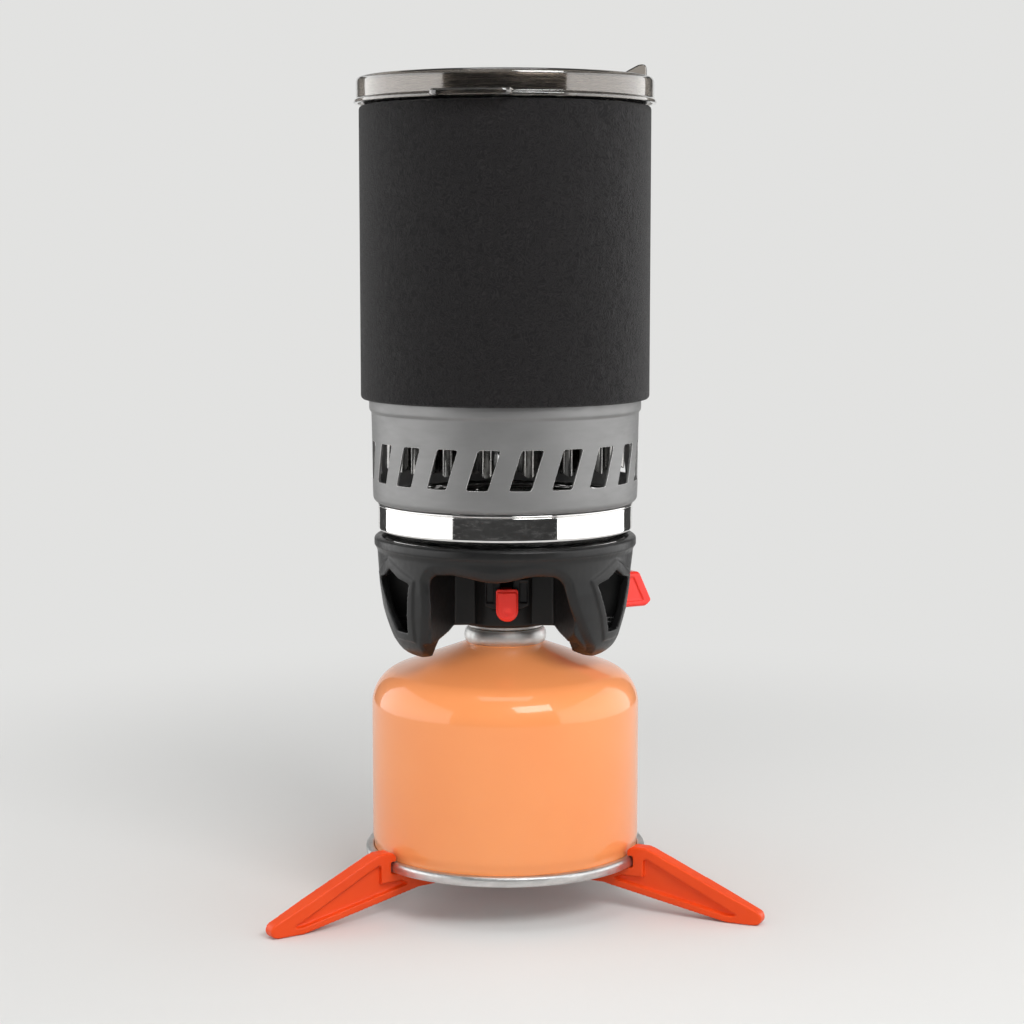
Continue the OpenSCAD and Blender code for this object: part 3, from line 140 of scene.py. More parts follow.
def skin(name, *grids):
    """One mesh of quads from (points, closes, wraps) grids: a grid's last row joins its first when it
    closes, and its last column its first when it wraps. Points that coincide are merged, which closes
    poles and joins neighbouring grids, and the faces are turned outwards."""
    quads, start = [], 0
    for points, closes, wraps in grids:
        index = start + np.arange(points.shape[0] * points.shape[1]).reshape(points.shape[:2])
        start += index.size
        index = np.vstack([index, index[:1]]) if closes else index
        index = np.hstack([index, index[:, :1]]) if wraps else index
        quads.append(np.stack([index[:-1, :-1], index[:-1, 1:], index[1:, 1:], index[1:, :-1]], -1).reshape(-1, 4))
    quads = np.vstack(quads).astype(np.int32)
    mesh = bpy.data.meshes.new(name)
    mesh.vertices.add(start)
    mesh.vertices.foreach_set("co", np.vstack([p.reshape(-1, 3) for p, _, _ in grids]).astype(np.float32).ravel())
    mesh.loops.add(quads.size)
    mesh.loops.foreach_set("vertex_index", quads.ravel())
    mesh.polygons.add(len(quads))
    mesh.polygons.foreach_set("loop_start", np.arange(0, quads.size, 4, dtype=np.int32))
    mesh.update(calc_edges=True)
    shape = bmesh.new()
    shape.from_mesh(mesh)
    bmesh.ops.remove_doubles(shape, verts=shape.verts, dist=2e-6)
    bmesh.ops.recalc_face_normals(shape, faces=shape.faces)
    shape.to_mesh(mesh)
    shape.free()
    mesh.polygons.foreach_set("use_smooth", np.ones(len(mesh.polygons), bool))
    piece = bpy.data.objects.new(name, mesh)
    bpy.context.collection.objects.link(piece)
    return piece


# White paper that throws back less light than it shows, so that black pieces stay black from below. It
# turns into the surround's own pale grey before the lamps stand on it.
LIT_R, FADED_R = 0.16, 0.56
floor = skin("floor", (floor_points, False, True))
paper = bpy.data.materials.new("floor_paper")
paper.use_nodes = True
tree = paper.node_tree
matt = tree.nodes["Principled BSDF"]
rays = tree.nodes.new("ShaderNodeLightPath")
shown = tree.nodes.new("ShaderNodeMix")
shown.data_type = "RGBA"
shown.inputs[6].default_value = (0.74, 0.74, 0.73, 1)
shown.inputs[7].default_value = (0.5, 0.5, 0.49, 1)
tree.links.new(rays.outputs["Is Diffuse Ray"], shown.inputs[0])
tree.links.new(shown.outputs[2], matt.inputs["Base Color"])
matt.inputs["Roughness"].default_value = 0.9
matt.inputs["Specular IOR Level"].default_value = 0.1
glow = tree.nodes.new("ShaderNodeEmission")
glow.inputs["Color"].default_value = PALE
place = tree.nodes.new("ShaderNodeTexCoord")
away = tree.nodes.new("ShaderNodeVectorMath")
away.operation = "LENGTH"
tree.links.new(place.outputs["Object"], away.inputs[0])
blend = tree.nodes.new("ShaderNodeMixShader")
tree.links.new(ramp(tree, away.outputs["Value"], LIT_R, FADED_R, 0, 1, "SMOOTHSTEP"), blend.inputs["Fac"])
tree.links.new(matt.outputs["BSDF"], blend.inputs[1])
tree.links.new(glow.outputs["Emission"], blend.inputs[2])
tree.links.new(blend.outputs["Shader"], tree.nodes["Material Output"].inputs["Surface"])
floor.data.materials.append(paper)

# Each card is a strip of a round wall between two azimuths, in degrees from the front. Only the front one
# is seen through the lid as well.
CARD_R, CARD_TOP = 0.65, 0.5
black = bpy.data.materials.new("black_card")
black.use_nodes = True
black.node_tree.nodes["Principled BSDF"].inputs["Base Color"].default_value = (0.04, 0.04, 0.04, 1)
black.node_tree.nodes["Principled BSDF"].inputs["Roughness"].default_value = 1
for side, start, end in (("front", -45.5, 45.5), ("rear_left", -153, -131), ("rear_right", 131, 153)):
    turn, height = np.meshgrid(np.radians(np.linspace(start, end, 25)), [0, CARD_TOP])
    card = skin(side + "_card", (np.stack([
        AXIS[0] + CARD_R * np.sin(turn), AXIS[1] - CARD_R * np.cos(turn), height], -1), False, False))
    card.data.materials.append(black)
    card.visible_camera = card.visible_diffuse = card.visible_shadow = False
    card.visible_transmission = side == "front"

# ---- Canister ----
# A steel can that is painted glossy orange and drawn in to a short neck. Its concave base is rolled on,
# which leaves a bare steel seam all round, and a bright valve cup is crimped over the neck.
MM = 0.001
RIM_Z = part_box("canister_base")[0].z / MM
NECK_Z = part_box("canister_body")[1].z / MM
CUP_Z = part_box("valve_cup")[1].z / MM
CAN_R = (can_high.x - can_low.x) / 2 / MM
SEAM_R = (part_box("canister_base")[1].x - AXIS[0]) / MM
CUP_R = (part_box("valve_cup")[1].x - AXIS[0]) / MM
NECK_R = CUP_R - 1.1


def softened(corners, cut, steps=6, closed=False):
    """Outline through corners, each turned into a parabola that starts and ends cut away from it, or at
    45% of a shorter side: (1-t)^2 start + 2t(1-t) corner + t^2 end."""
    corner = np.array(corners, float)
    cut = np.broadcast_to(np.array(cut, float).reshape(-1, 1), (len(corner), 1))
    ends = []
    for other in (np.roll(corner, 1, 0), np.roll(corner, -1, 0)):
        step = other - corner
        length = np.maximum(np.linalg.norm(step, axis=1, keepdims=True), 1e-9)
        ends.append(corner + step * np.minimum(cut, 0.45 * length) / length)
    t = np.linspace(0, 1, steps)[:, None, None]
    path = (1 - t) ** 2 * ends[0] + 2 * t * (1 - t) * corner + t**2 * ends[1]
    path = path.transpose(1, 0, 2).reshape(-1, corner.shape[1])
    return path if closed else np.vstack([corner[:1], path[steps:-steps], corner[-1:]])


def bow(x, y, r, start, end, steps=12):
    """Points of an arc about (x, y), from one angle to another in degrees."""
    a = np.radians(np.linspace(start, end, steps))
    return np.stack([x + r * np.cos(a), y + r * np.sin(a)], 1)


def turned(name, outline, closed=True, turns=256):
    """Surface of revolution about the stove's axis of an outline of (radius, height) in millimetres:
    point (i, j) is (r_i cos a_j, r_i sin a_j, z_i)."""
    r, z = np.array(outline, float).T[:, :, None] * MM
    a = np.linspace(0, 2 * np.pi, turns, endpoint=False)
    points = np.stack([AXIS[0] + r * np.cos(a), AXIS[1] + r * np.sin(a), z + 0 * a], -1)
    return skin(name, (points, closed, True))


def finish(name, colour, roughness, metallic=0.0, **sockets):
    """Principled material with its plain values set on the shader's own sockets."""
    made = bpy.data.materials.new(name)
    made.use_nodes = True
    shader = made.node_tree.nodes["Principled BSDF"]
    shader.inputs["Base Color"].default_value = (*colour, 1)
    shader.inputs["Roughness"].default_value = roughness
    shader.inputs["Metallic"].default_value = metallic
    for socket, value in sockets.items():
        shader.inputs[socket.replace("_", " ")].default_value = value
    return made


def grain(made, size, stretch=(1, 1, 1), detail=3.0, distortion=0.0, roughness=0.5, source="Object"):
    """Noise on a piece's own coordinates, with grains of about the given size in metres; stretch makes
    them that many times longer along X, Y and Z."""
    tree = made.node_tree
    at = tree.nodes.new("ShaderNodeTexCoord")
    scaled = tree.nodes.new("ShaderNodeMapping")
    scaled.inputs["Scale"].default_value = [1 / size / s for s in stretch]
    noise = tree.nodes.new("ShaderNodeTexNoise")
    noise.inputs["Scale"].default_value = 1
    noise.inputs["Detail"].default_value = detail
    noise.inputs["Distortion"].default_value = distortion
    noise.inputs["Roughness"].default_value = roughness
    tree.links.new(at.outputs[source], scaled.inputs["Vector"])
    tree.links.new(scaled.outputs["Vector"], noise.inputs["Vector"])
    return noise.outputs["Fac"]


def spread(made, value, low, high, from_low=0.3, from_high=0.7):
    """The material's value, such as a noise, stretched over the range from low to high."""
    return ramp(made.node_tree, value, from_low, from_high, low, high)


def tint(made, value, first, second):
    """Base colour that runs from the first colour to the second as the value goes from 0 to 1."""
    mix = made.node_tree.nodes.new("ShaderNodeMix")
    mix.data_type = "RGBA"
    mix.inputs[6].default_value = (*first, 1)
    mix.inputs[7].default_value = (*second, 1)
    made.node_tree.links.new(value, mix.inputs[0])
    made.node_tree.links.new(mix.outputs[2], made.node_tree.nodes["Principled BSDF"].inputs["Base Color"])


def drive(made, socket, value):
    """Feeds a value into one of the shader's sockets."""
    made.node_tree.links.new(value, made.node_tree.nodes["Principled BSDF"].inputs[socket])


def relief(made, value, depth, strength=1.0):
    """Bump of the given depth in metres, on top of any that is there already."""
    tree = made.node_tree
    bump = tree.nodes.new("ShaderNodeBump")
    bump.inputs["Distance"].default_value = depth
    bump.inputs["Strength"].default_value = strength
    normal = tree.nodes["Principled BSDF"].inputs["Normal"]
    if normal.links:
        tree.links.new(normal.links[0].from_socket, bump.inputs["Normal"])
    tree.links.new(value, bump.inputs["Height"])
    tree.links.new(bump.outputs["Normal"], normal)


def dress(piece, made):
    """Gives a piece, or a node of the frame by its name, one material in place of its own."""
    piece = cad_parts[piece] if isinstance(piece, str) else piece
    piece.data.materials.clear()
    piece.data.materials.append(made)
    return piece


SHOULDER, SHOULDER_Z = 15, NECK_Z - 25.2
CAN_WALL = 0.6
shoulder = bow(CAN_R - SHOULDER, SHOULDER_Z, SHOULDER, 0, 70, 24)
painted_side = np.vstack([
    softened([[CAN_R - 0.5, RIM_Z + 2], [CAN_R - 0.5, RIM_Z + 5.4], [CAN_R, RIM_Z + 8], [CAN_R, NECK_Z - 26]], 1.2),
    shoulder,
    softened([shoulder[-1], [NECK_R + 1.6, NECK_Z - 1.2], [NECK_R, NECK_Z - 0.2], [NECK_R, NECK_Z]], 3.2)[1:]])
inside = painted_side[::-1] - [CAN_WALL, 0]
inside[:-1, 1] -= 0.35
inside[-1, 1] = painted_side[0, 1]
painted_can = turned("painted_can", np.vstack([painted_side, inside]))

enamel = finish("orange_enamel", (0.94, 0.33, 0.115), 0.35, Specular_IOR_Level=0.2,
                Coat_Weight=0.75, Coat_Roughness=0.03)
tint(enamel, spread(enamel, grain(enamel, 0.05), 0, 1), (0.955, 0.345, 0.12), (0.93, 0.315, 0.105))
relief(enamel, grain(enamel, 0.0035, detail=1.0), 0.00002, 0.25)
dress(painted_can, enamel)
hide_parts("canister_body")
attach(painted_can, "canister")

DOME_R, DOME_TOP = 162.5, RIM_Z + 10.1
dome = bow(0, DOME_TOP - DOME_R, DOME_R, 90, 71.8, 14)
seam = softened([
    [CAN_R - 0.9, RIM_Z], [SEAM_R - 0.6, RIM_Z], [SEAM_R, RIM_Z + 0.6], [SEAM_R, RIM_Z + 3.1],
    [SEAM_R - 0.8, RIM_Z + 4], [CAN_R - 0.2, RIM_Z + 4], [CAN_R - 0.5, RIM_Z + 3.2], [CAN_R - 0.5, RIM_Z + 2],
    [CAN_R - 1.2, RIM_Z + 2]], 0.7)
rolled_base = turned("rolled_base", np.vstack([dome, seam, dome[::-1] + [0, CAN_WALL]]), closed=False)

steel = finish("seam_steel", (0.62, 0.62, 0.62), 0.4, 1.0)
worn = grain(steel, 0.012, (1, 1, 0.25), detail=5.0)
tint(steel, spread(steel, worn, 0, 1), (0.46, 0.46, 0.455), (0.74, 0.74, 0.735))
drive(steel, "Roughness", spread(steel, grain(steel, 0.0014, (1, 1, 5), detail=4.0), 0.3, 0.5))
relief(steel, grain(steel, 0.0018, (1, 1, 4), detail=3.0), 0.0001, 0.35)
dress(rolled_base, steel)
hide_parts("canister_base")
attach(rolled_base, "canister")

ROLL, ROLL_Z = 2.0, (CUP_Z + NECK_Z) / 2 - 0.4
crimp = np.array([[NECK_R - CAN_WALL, NECK_Z], [NECK_R + 0.1, NECK_Z]])
roll = bow(0, 0, 1, -62, 185, 36) * [ROLL, CUP_Z - ROLL_Z] + [CUP_R - ROLL, ROLL_Z]
well = softened([
    [CUP_R - 3.9, NECK_Z + 1.2], [CUP_R - 3.0, NECK_Z + 0.2], [CUP_R - 2.6, NECK_Z - 3.4], [CUP_R - 3.4, NECK_Z - 4],
    [8, NECK_Z - 4], [6.9, NECK_Z - 3.2], [5.55, NECK_Z - 3.2], [5.55, NECK_Z - 3.9], [6.6, NECK_Z - 4.6],
    [CUP_R - 2.6, NECK_Z - 4.6], [NECK_R - 0.6, NECK_Z - 3.6]], 0.5)
rolled_cup = turned("rolled_valve_cup", np.vstack([crimp, roll, well]), turns=192)
bright = finish("bright_tin", (0.72, 0.72, 0.71), 0.5, 1.0)
drive(bright, "Roughness", spread(bright, grain(bright, 0.0018, (1, 1, 5), detail=4.0), 0.4, 0.6))
relief(bright, grain(bright, 0.004, (1, 1, 0.8), detail=2.0), 0.0001, 0.25)
dress(rolled_cup, bright)
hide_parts("valve_cup")
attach(rolled_cup, "canister")

# ---- Valve train ----
# The turned brass valve bodies, their steel pins and spindle, the bright seat ring that shows over the
# valve cup, the rubber seals and the nylon parts. They keep the frame's shapes, with a machined finish.
brass = finish("turned_brass", (0.72, 0.5, 0.2), 0.28, 1.0)
drive(brass, "Roughness", spread(brass, grain(brass, 0.0004, (8, 8, 1), detail=3.0), 0.2, 0.38))
relief(brass, grain(brass, 0.0005, (12, 12, 1), detail=2.0), 0.00002, 0.5)
for name in ("canister_valve", "valve_body", "gas_jet", "gland_nut"):
    dress(name, brass)
pin_steel = finish("pin_steel", (0.6, 0.6, 0.6), 0.25, 1.0)
drive(pin_steel, "Roughness", spread(pin_steel, grain(pin_steel, 0.0006, detail=3.0), 0.18, 0.36))
for name in ("depressor_pin", "valve_spindle", "hub_pin", "base_screws"):
    dress(name, pin_steel)
dress("seat_ring", bright)
rubber = finish("seal_rubber", (0.02, 0.02, 0.02), 0.6, Specular_IOR_Level=0.35)
relief(rubber, grain(rubber, 0.0003, detail=2.0), 0.00003, 0.4)
for name in ("stem_gasket", "seal_ring", "spindle_ring"):
    dress(name, rubber)
nylon = finish("white_nylon", (0.8, 0.78, 0.72), 0.45, Subsurface_Weight=0.1)
relief(nylon, grain(nylon, 0.0006, detail=2.0), 0.00003, 0.3)
for name in ("valve_stem", "piezo_case", "piezo_plunger"):
    dress(name, nylon)

# ---- Stand ----
# Three legs of glass-filled nylon, moulded in one colour with a thin web inside a raised border. Each
# hooks over the canister's seam, and they fold together about one pin.


def cast(node, name, grain_size, passes, most=190000):
    """A moulded piece with soft edges: the node's own shape is filled with cubes of grain_size in
    millimetres, skinned, relaxed in the given number of passes and thinned to at most that many triangles."""
    shape = bmesh.new()
    shape.from_mesh(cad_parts[node].data)
    bmesh.ops.remove_doubles(shape, verts=shape.verts, dist=2e-6)
    mesh = bpy.data.meshes.new(name)
    shape.to_mesh(mesh)
    shape.free()
    piece = bpy.data.objects.new(name, mesh)
    bpy.context.collection.objects.link(piece)
    cubes = piece.modifiers.new("skin", "REMESH")
    cubes.mode = "VOXEL"
    cubes.voxel_size = grain_size * MM
    relax = piece.modifiers.new("relax", "SMOOTH")
    relax.factor = 0.5
    relax.iterations = passes
    settle(piece)
    count = 2 * len(piece.data.polygons)
    if count > most:
        thin = piece.modifiers.new("thin", "DECIMATE")
        thin.ratio = most / count
        settle(piece)
    piece.data.polygons.foreach_set("use_smooth", np.ones(len(piece.data.polygons), bool))
    return piece


def settle(piece):
    """Applies a piece's modifiers."""
    whole = piece.evaluated_get(bpy.context.evaluated_depsgraph_get())
    mesh = bpy.data.meshes.new_from_object(whole)
    piece.modifiers.clear()
    old = piece.data
    piece.data = mesh
    bpy.data.meshes.remove(old)


orange_nylon = finish("orange_nylon", (0.835, 0.071, 0.007), 0.42, Specular_IOR_Level=0.35)
tint(orange_nylon, spread(orange_nylon, grain(orange_nylon, 0.02), 0, 1), (0.87, 0.078, 0.008), (0.8, 0.064, 0.006))
drive(orange_nylon, "Roughness", spread(orange_nylon, grain(orange_nylon, 0.003, detail=4.0), 0.34, 0.5))
relief(orange_nylon, grain(orange_nylon, 0.0007, detail=3.0), 0.00004, 0.4)
for node in ("rear_leg", "left_leg", "right_leg"):
    leg = dress(cast(node, "moulded_" + node, 0.42, 3), orange_nylon)
    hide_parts(node)
    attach(leg, "stand" if node == "rear_leg" else node)

# ---- Burner base and valve housing ----
# One black nylon moulding: a bowl on three hollow legs with arches between them, and a round housing for
# the valve in its middle. The arches' edges are softly rolled, and each leg has a framed window.
black_nylon = finish("black_nylon", (0.008, 0.008, 0.0085), 0.36, Specular_IOR_Level=0.38)
mottling = spread(black_nylon, grain(black_nylon, 0.01, detail=4.0), 0, 1)
tint(black_nylon, mottling, (0.0065, 0.0065, 0.007), (0.0105, 0.0103, 0.01))
drive(black_nylon, "Roughness", spread(black_nylon, grain(black_nylon, 0.002, detail=5.0), 0.3, 0.44))
relief(black_nylon, grain(black_nylon, 0.00045, detail=3.0), 0.00003, 0.5)
moulded_base = dress(cast("burner_base", "moulded_base", 0.45, 7), black_nylon)

# The bowl's top is pressed down by up to 1.3 mm, outside the housing, to leave a gap under the bright
# band: each point sinks by FLANGE_DROP times how far up in the flange and how far out it is, both 0 to 1.
FLANGE_DEEP, FLANGE_DROP = 7.5 * MM, 1.3 * MM
HOUSING_R, BOWL_RAMP = 30 * MM, 10 * MM
base_points = np.empty(3 * len(moulded_base.data.vertices))
moulded_base.data.vertices.foreach_get("co", base_points)
base_points = base_points.reshape(-1, 3)
flange_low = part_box("burner_base")[1].z - FLANGE_DEEP
how_high = np.clip((base_points[:, 2] - flange_low) / FLANGE_DEEP, 0, 1)
from_axis = np.hypot(base_points[:, 0] - AXIS[0], base_points[:, 1] - AXIS[1])
how_far_out = np.clip((from_axis - HOUSING_R) / BOWL_RAMP, 0, 1)
base_points[:, 2] -= FLANGE_DROP * how_high * how_far_out
moulded_base.data.vertices.foreach_set("co", base_points.ravel())
moulded_base.data.update()
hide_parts("burner_base")
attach(moulded_base, "burner")
moulded_housing = dress(cast("valve_housing", "moulded_housing", 0.4, 3), black_nylon)
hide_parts("valve_housing")
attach(moulded_housing, "burner")
moulded_frame = dress(cast("igniter_frame", "moulded_igniter_frame", 0.2, 2), black_nylon)
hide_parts("igniter_frame")
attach(moulded_frame, "burner")

# ---- Igniter button and control knob ----
# Both are moulded in red: the button is a flap with a rounded lower end and a small dimple, and the knob
# a flat paddle with a recessed face. They are glossier than the stand.
signal_red = finish("signal_red", (0.95, 0.032, 0.018), 0.3, Specular_IOR_Level=0.5,
                    Coat_Weight=0.15, Coat_Roughness=0.2)
tint(signal_red, spread(signal_red, grain(signal_red, 0.006), 0, 1), (0.98, 0.035, 0.02), (0.92, 0.028, 0.016))
relief(signal_red, grain(signal_red, 0.0006, detail=3.0), 0.00003, 0.35)
for node, body, name, passes in (
        ("igniter_button", "igniter", "red_button", 16), ("control_knob", "knob", "red_knob", 22)):
    lever = dress(cast(node, name, 0.18, passes), signal_red)
    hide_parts(node)
    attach(lever, body)

# ---- Windshield cup and burner head ----
# A deep-drawn cup of polished steel, whose bright band carries the pot, with a spun burner head, a
# drilled port plate and the igniter's wire and ceramic sleeve inside.
shield_low, shield_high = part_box("windshield_cup")
COLLAR_TALL, BEAD = 3.2, 0.75
BOWL_Z = shield_low.z / MM
SEAT_Z = shield_high.z / MM - COLLAR_TALL
SHIELD_R = (shield_high.x - AXIS[0]) / MM - BEAD
BAND_R = SHIELD_R + 0.5
SHEET = 0.6


def inwards(outline, depth):
    """Outline offset by depth along its normals, to the left of its run."""
    step = np.gradient(outline, axis=0)
    normal = np.stack([-step[:, 1], step[:, 0]], 1)
    return outline + depth * normal / np.linalg.norm(normal, axis=1, keepdims=True)


# From the hole for the mixing tube, out over the floor and up the wall. The wall is drawn in under the
# band, so that the band throws a dark gap on to the base, and ends in a bead and a collar for the pot.
band_outside = np.vstack([
    softened([
        [13, BOWL_Z + 4.1], [13, BOWL_Z + 1.7], [SHIELD_R - 4.3, BOWL_Z + 1.7], [SHIELD_R - 3.7, BOWL_Z],
        [SHIELD_R - 1.1, BOWL_Z], [SHIELD_R - 1.1, SEAT_Z - 16], [SHIELD_R - 2.9, SEAT_Z - 13.6],
        [SHIELD_R - 2.5, SEAT_Z - 12.2], [BAND_R - 0.3, SEAT_Z - 10.4], [BAND_R, SEAT_Z - 9.8],
        [BAND_R - 0.03, SEAT_Z - 5.6], [BAND_R, SEAT_Z - 1.5], [BAND_R - 0.2, SEAT_Z - 0.9]],
        [0, 1, 1, 0.8, 0.8, 1, 0.8, 0.6, 0.3, 0.5, 3, 0.4, 0]),
    bow(SHIELD_R + 0.27, SEAT_Z - 0.45, 0.45, -90, 90, 12),
    softened([[SHIELD_R - 0.8, SEAT_Z], [SHIELD_R - 0.8, SEAT_Z + COLLAR_TALL]], 0.2)])
cup = turned("drawn_windshield", np.vstack([band_outside, inwards(band_outside, SHEET)[::-1]]))
chrome = finish("polished_steel", (0.8, 0.79, 0.78), 0.1, 1.0)
scuffs = grain(chrome, 0.0012, (2, 2, 1), detail=8.0, roughness=0.75)
drive(chrome, "Roughness", spread(chrome, scuffs, 0.03, 0.2, 0.5, 0.72))
smears = grain(chrome, 0.0022, (3, 3, 1), detail=10.0, roughness=0.85)
drive(chrome, "Metallic", spread(chrome, smears, 1.0, 0.9, 0.5, 0.68))
relief(chrome, grain(chrome, 0.012, (1, 1, 0.7), detail=1.0), 0.0001, 0.12)
dress(cup, chrome)
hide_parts("windshield_cup")
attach(cup, "burner")

heated = finish("heated_steel", (0.42, 0.38, 0.34), 0.32, 1.0)
tint(heated, spread(heated, grain(heated, 0.012, detail=4.0), 0, 1), (0.5, 0.44, 0.37), (0.34, 0.33, 0.36))
drive(heated, "Roughness", spread(heated, grain(heated, 0.0008, (6, 6, 1)), 0.25, 0.42))
for name in ("burner_head", "port_plate", "mixing_tube", "spark_electrode"):
    dress(name, heated)
glazed = finish("glazed_ceramic", (0.82, 0.8, 0.74), 0.35, Subsurface_Weight=0.1)
relief(glazed, grain(glazed, 0.0006, detail=2.0), 0.00002, 0.3)
silicone = finish("lead_silicone", (0.72, 0.7, 0.64), 0.5, Subsurface_Weight=0.15)
relief(silicone, grain(silicone, 0.0005, detail=2.0), 0.00003, 0.3)
dress("electrode_sleeve", glazed)
dress("ignition_lead", silicone)

# ---- Heat exchanger skirt and fins ----
# A spun aluminium skirt, hard-anodised to a matt grey, with slanted slots punched through it and a bead
# below its collar. Hairpin fins of bright folded sheet hang under the pot behind the slots.
skirt_at, skirt_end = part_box("fin_skirt")
SKIRT_Z, COLLAR_Z = skirt_at.z / MM, skirt_end.z / MM
COLLAR_R = (skirt_end.x - AXIS[0]) / MM
SLOTS = 20


def pierced(half_patch, half_hole, corner, lean, across=22, up=30, rings=9):
    """Loops of (across, height) from the edge of a rounded hole that leans to the right, out to the
    edge of a rectangle: loop_k = (1 - s_k) hole + s_k patch, with s_k close together near the hole."""
    near = np.sin(np.linspace(-np.pi / 2, np.pi / 2, across + 1))[:-1]
    tall = np.sin(np.linspace(-np.pi / 2, np.pi / 2, up + 1))[:-1]
    even_near = np.linspace(-1, 1, across + 1)[:-1]
    even_tall = np.linspace(-1, 1, up + 1)[:-1]

    def around(x, y):
        one_x, one_y = np.ones_like(x), np.ones_like(y)
        return np.vstack([
            np.stack([x, -one_x], 1), np.stack([one_y, y], 1), np.stack([-x, one_x], 1), np.stack([-one_y, -y], 1)])

    edge = around(near, tall) * half_hole
    core = np.clip(edge, corner - np.array(half_hole), np.array(half_hole) - corner)
    out = edge - core
    hole = core + corner * out / np.linalg.norm(out, axis=1, keepdims=True)
    hole[:, 0] += lean * hole[:, 1]
    s = np.linspace(0, 1, rings)[:, None, None] ** 1.6
    return (1 - s) * hole + s * around(even_near, even_tall) * half_patch


def round_wall(azimuth, height, radius):
    """Points of a round wall in metres, from azimuths in radians, heights and radii in millimetres."""
    azimuth, height, radius = np.broadcast_arrays(azimuth, height, radius)
    return np.stack([
        AXIS[0] + radius * MM * np.sin(azimuth), AXIS[1] - radius * MM * np.cos(azimuth), height * MM], -1)


# The wall widens a little from WALL_LOW_R to WALL_TOP_R over the strip with the slots. The strip is a ring
# of equal cells with a slot each, and a plain wall joins it below and above.
SLOT_Z, HALF_STRIP = SKIRT_Z + 16.8, 11.4
HALF_SLOT, SLOT_CORNER, SLOT_LEAN = (4.3, 7.7), 1.0, 4.9 / 15.4
WALL_LOW_R, WALL_TOP_R = COLLAR_R - 1.28, COLLAR_R - 1.05
CELL_SIDES = 22
wall_r = COLLAR_R - 1.15
below = np.vstack([
    [[SHIELD_R + 0.12, SKIRT_Z + 0.03], [COLLAR_R - 3.0, SKIRT_Z + 0.03]],
    bow(COLLAR_R - 3.8, SKIRT_Z + 2.43, 2.4, -66, 0, 8), [[WALL_LOW_R, SLOT_Z - HALF_STRIP]]])
above = np.vstack([
    [[WALL_TOP_R, SLOT_Z + HALF_STRIP]],
    softened([
        [COLLAR_R - 0.9, COLLAR_Z - 8.2], [COLLAR_R - 0.88, COLLAR_Z - 7.5], [COLLAR_R - 0.1, COLLAR_Z - 6.5],
        [COLLAR_R - 0.02, COLLAR_Z - 5.5], [COLLAR_R - 0.02, COLLAR_Z - 0.1]], 0.6, 7)])
slot_loops = pierced((np.pi / SLOTS * wall_r, HALF_STRIP), HALF_SLOT, SLOT_CORNER, SLOT_LEAN, CELL_SIDES)
up_strip = (slot_loops[..., 1] + HALF_STRIP) / (2 * HALF_STRIP)
cells = [
    round_wall(2 * np.pi * (i + 0.5) / SLOTS + slot_loops[..., 0] / wall_r, SLOT_Z + slot_loops[..., 1],
               WALL_LOW_R + (WALL_TOP_R - WALL_LOW_R) * up_strip) for i in range(SLOTS)]
round_turn = 2 * np.pi * np.arange(SLOTS * CELL_SIDES) / (SLOTS * CELL_SIDES)
strips = [round_wall(round_turn, line[:, 1:], line[:, :1]) for line in (below, above)]
skirt = skin("punched_skirt", *[(grid, False, True) for grid in cells + strips])


def thicken(piece, thickness, edge):
    """Turns a skin into sheet of that thickness behind it, with its edges softened; the softened edges
    take the piece's second material."""
    solid = piece.modifiers.new("sheet", "SOLIDIFY")
    solid.thickness = thickness * MM
    solid.offset = -1
    soft = piece.modifiers.new("soft_edges", "BEVEL")
    soft.width = edge * MM
    soft.segments = 2
    soft.limit_method = "ANGLE"
    soft.angle_limit = math.radians(50)
    soft.material = 1
    settle(piece)
    piece.data.polygons.foreach_set("use_smooth", np.ones(len(piece.data.polygons), bool))


anodised = finish("anodised_grey", (0.23, 0.23, 0.23), 0.5, 0.6)
clouding = spread(anodised, grain(anodised, 0.03, (1, 1, 0.5), detail=5.0), 0, 1)
tint(anodised, clouding, (0.215, 0.214, 0.213), (0.25, 0.249, 0.248))
drive(anodised, "Roughness", spread(anodised, grain(anodised, 0.0018, (4, 4, 1), detail=4.0), 0.44, 0.56))
relief(anodised, grain(anodised, 0.0004, (6, 6, 1), detail=2.0), 0.00002, 0.5)
# The slots' softened edges get a near-white, non-metal colour: partly the bare aluminium of the punched edge, partly
# a painted highlight along it.
bare_edge_and_highlight = finish("bare_edge_and_highlight", (0.95, 0.94, 0.92), 0.34, 0.0)
drive(bare_edge_and_highlight, "Roughness", spread(bare_edge_and_highlight, grain(bare_edge_and_highlight, 0.002, detail=3.0), 0.26, 0.42))
SKIRT_T, SOFT_EDGE = 0.85, 0.4
dress(skirt, anodised).data.materials.append(bare_edge_and_highlight)
thicken(skirt, SKIRT_T, SOFT_EDGE)
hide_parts("fin_skirt")
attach(skirt, "pot")

# The fins' colour is far darker than bare aluminium, in random patches: painted shade for their place in the dark
# behind the slots.
folded = finish("folded_aluminium", (0.32, 0.315, 0.305), 0.26, 1.0)
tint(folded, spread(folded, grain(folded, 0.008, detail=4.0), 0, 1), (0.42, 0.41, 0.39), (0.22, 0.22, 0.22))
drive(folded, "Roughness", spread(folded, grain(folded, 0.0012, (1, 1, 5), detail=4.0), 0.18, 0.4))
relief(folded, grain(folded, 0.003, detail=2.0), 0.0002, 0.4)
dress("fin_ring", folded)

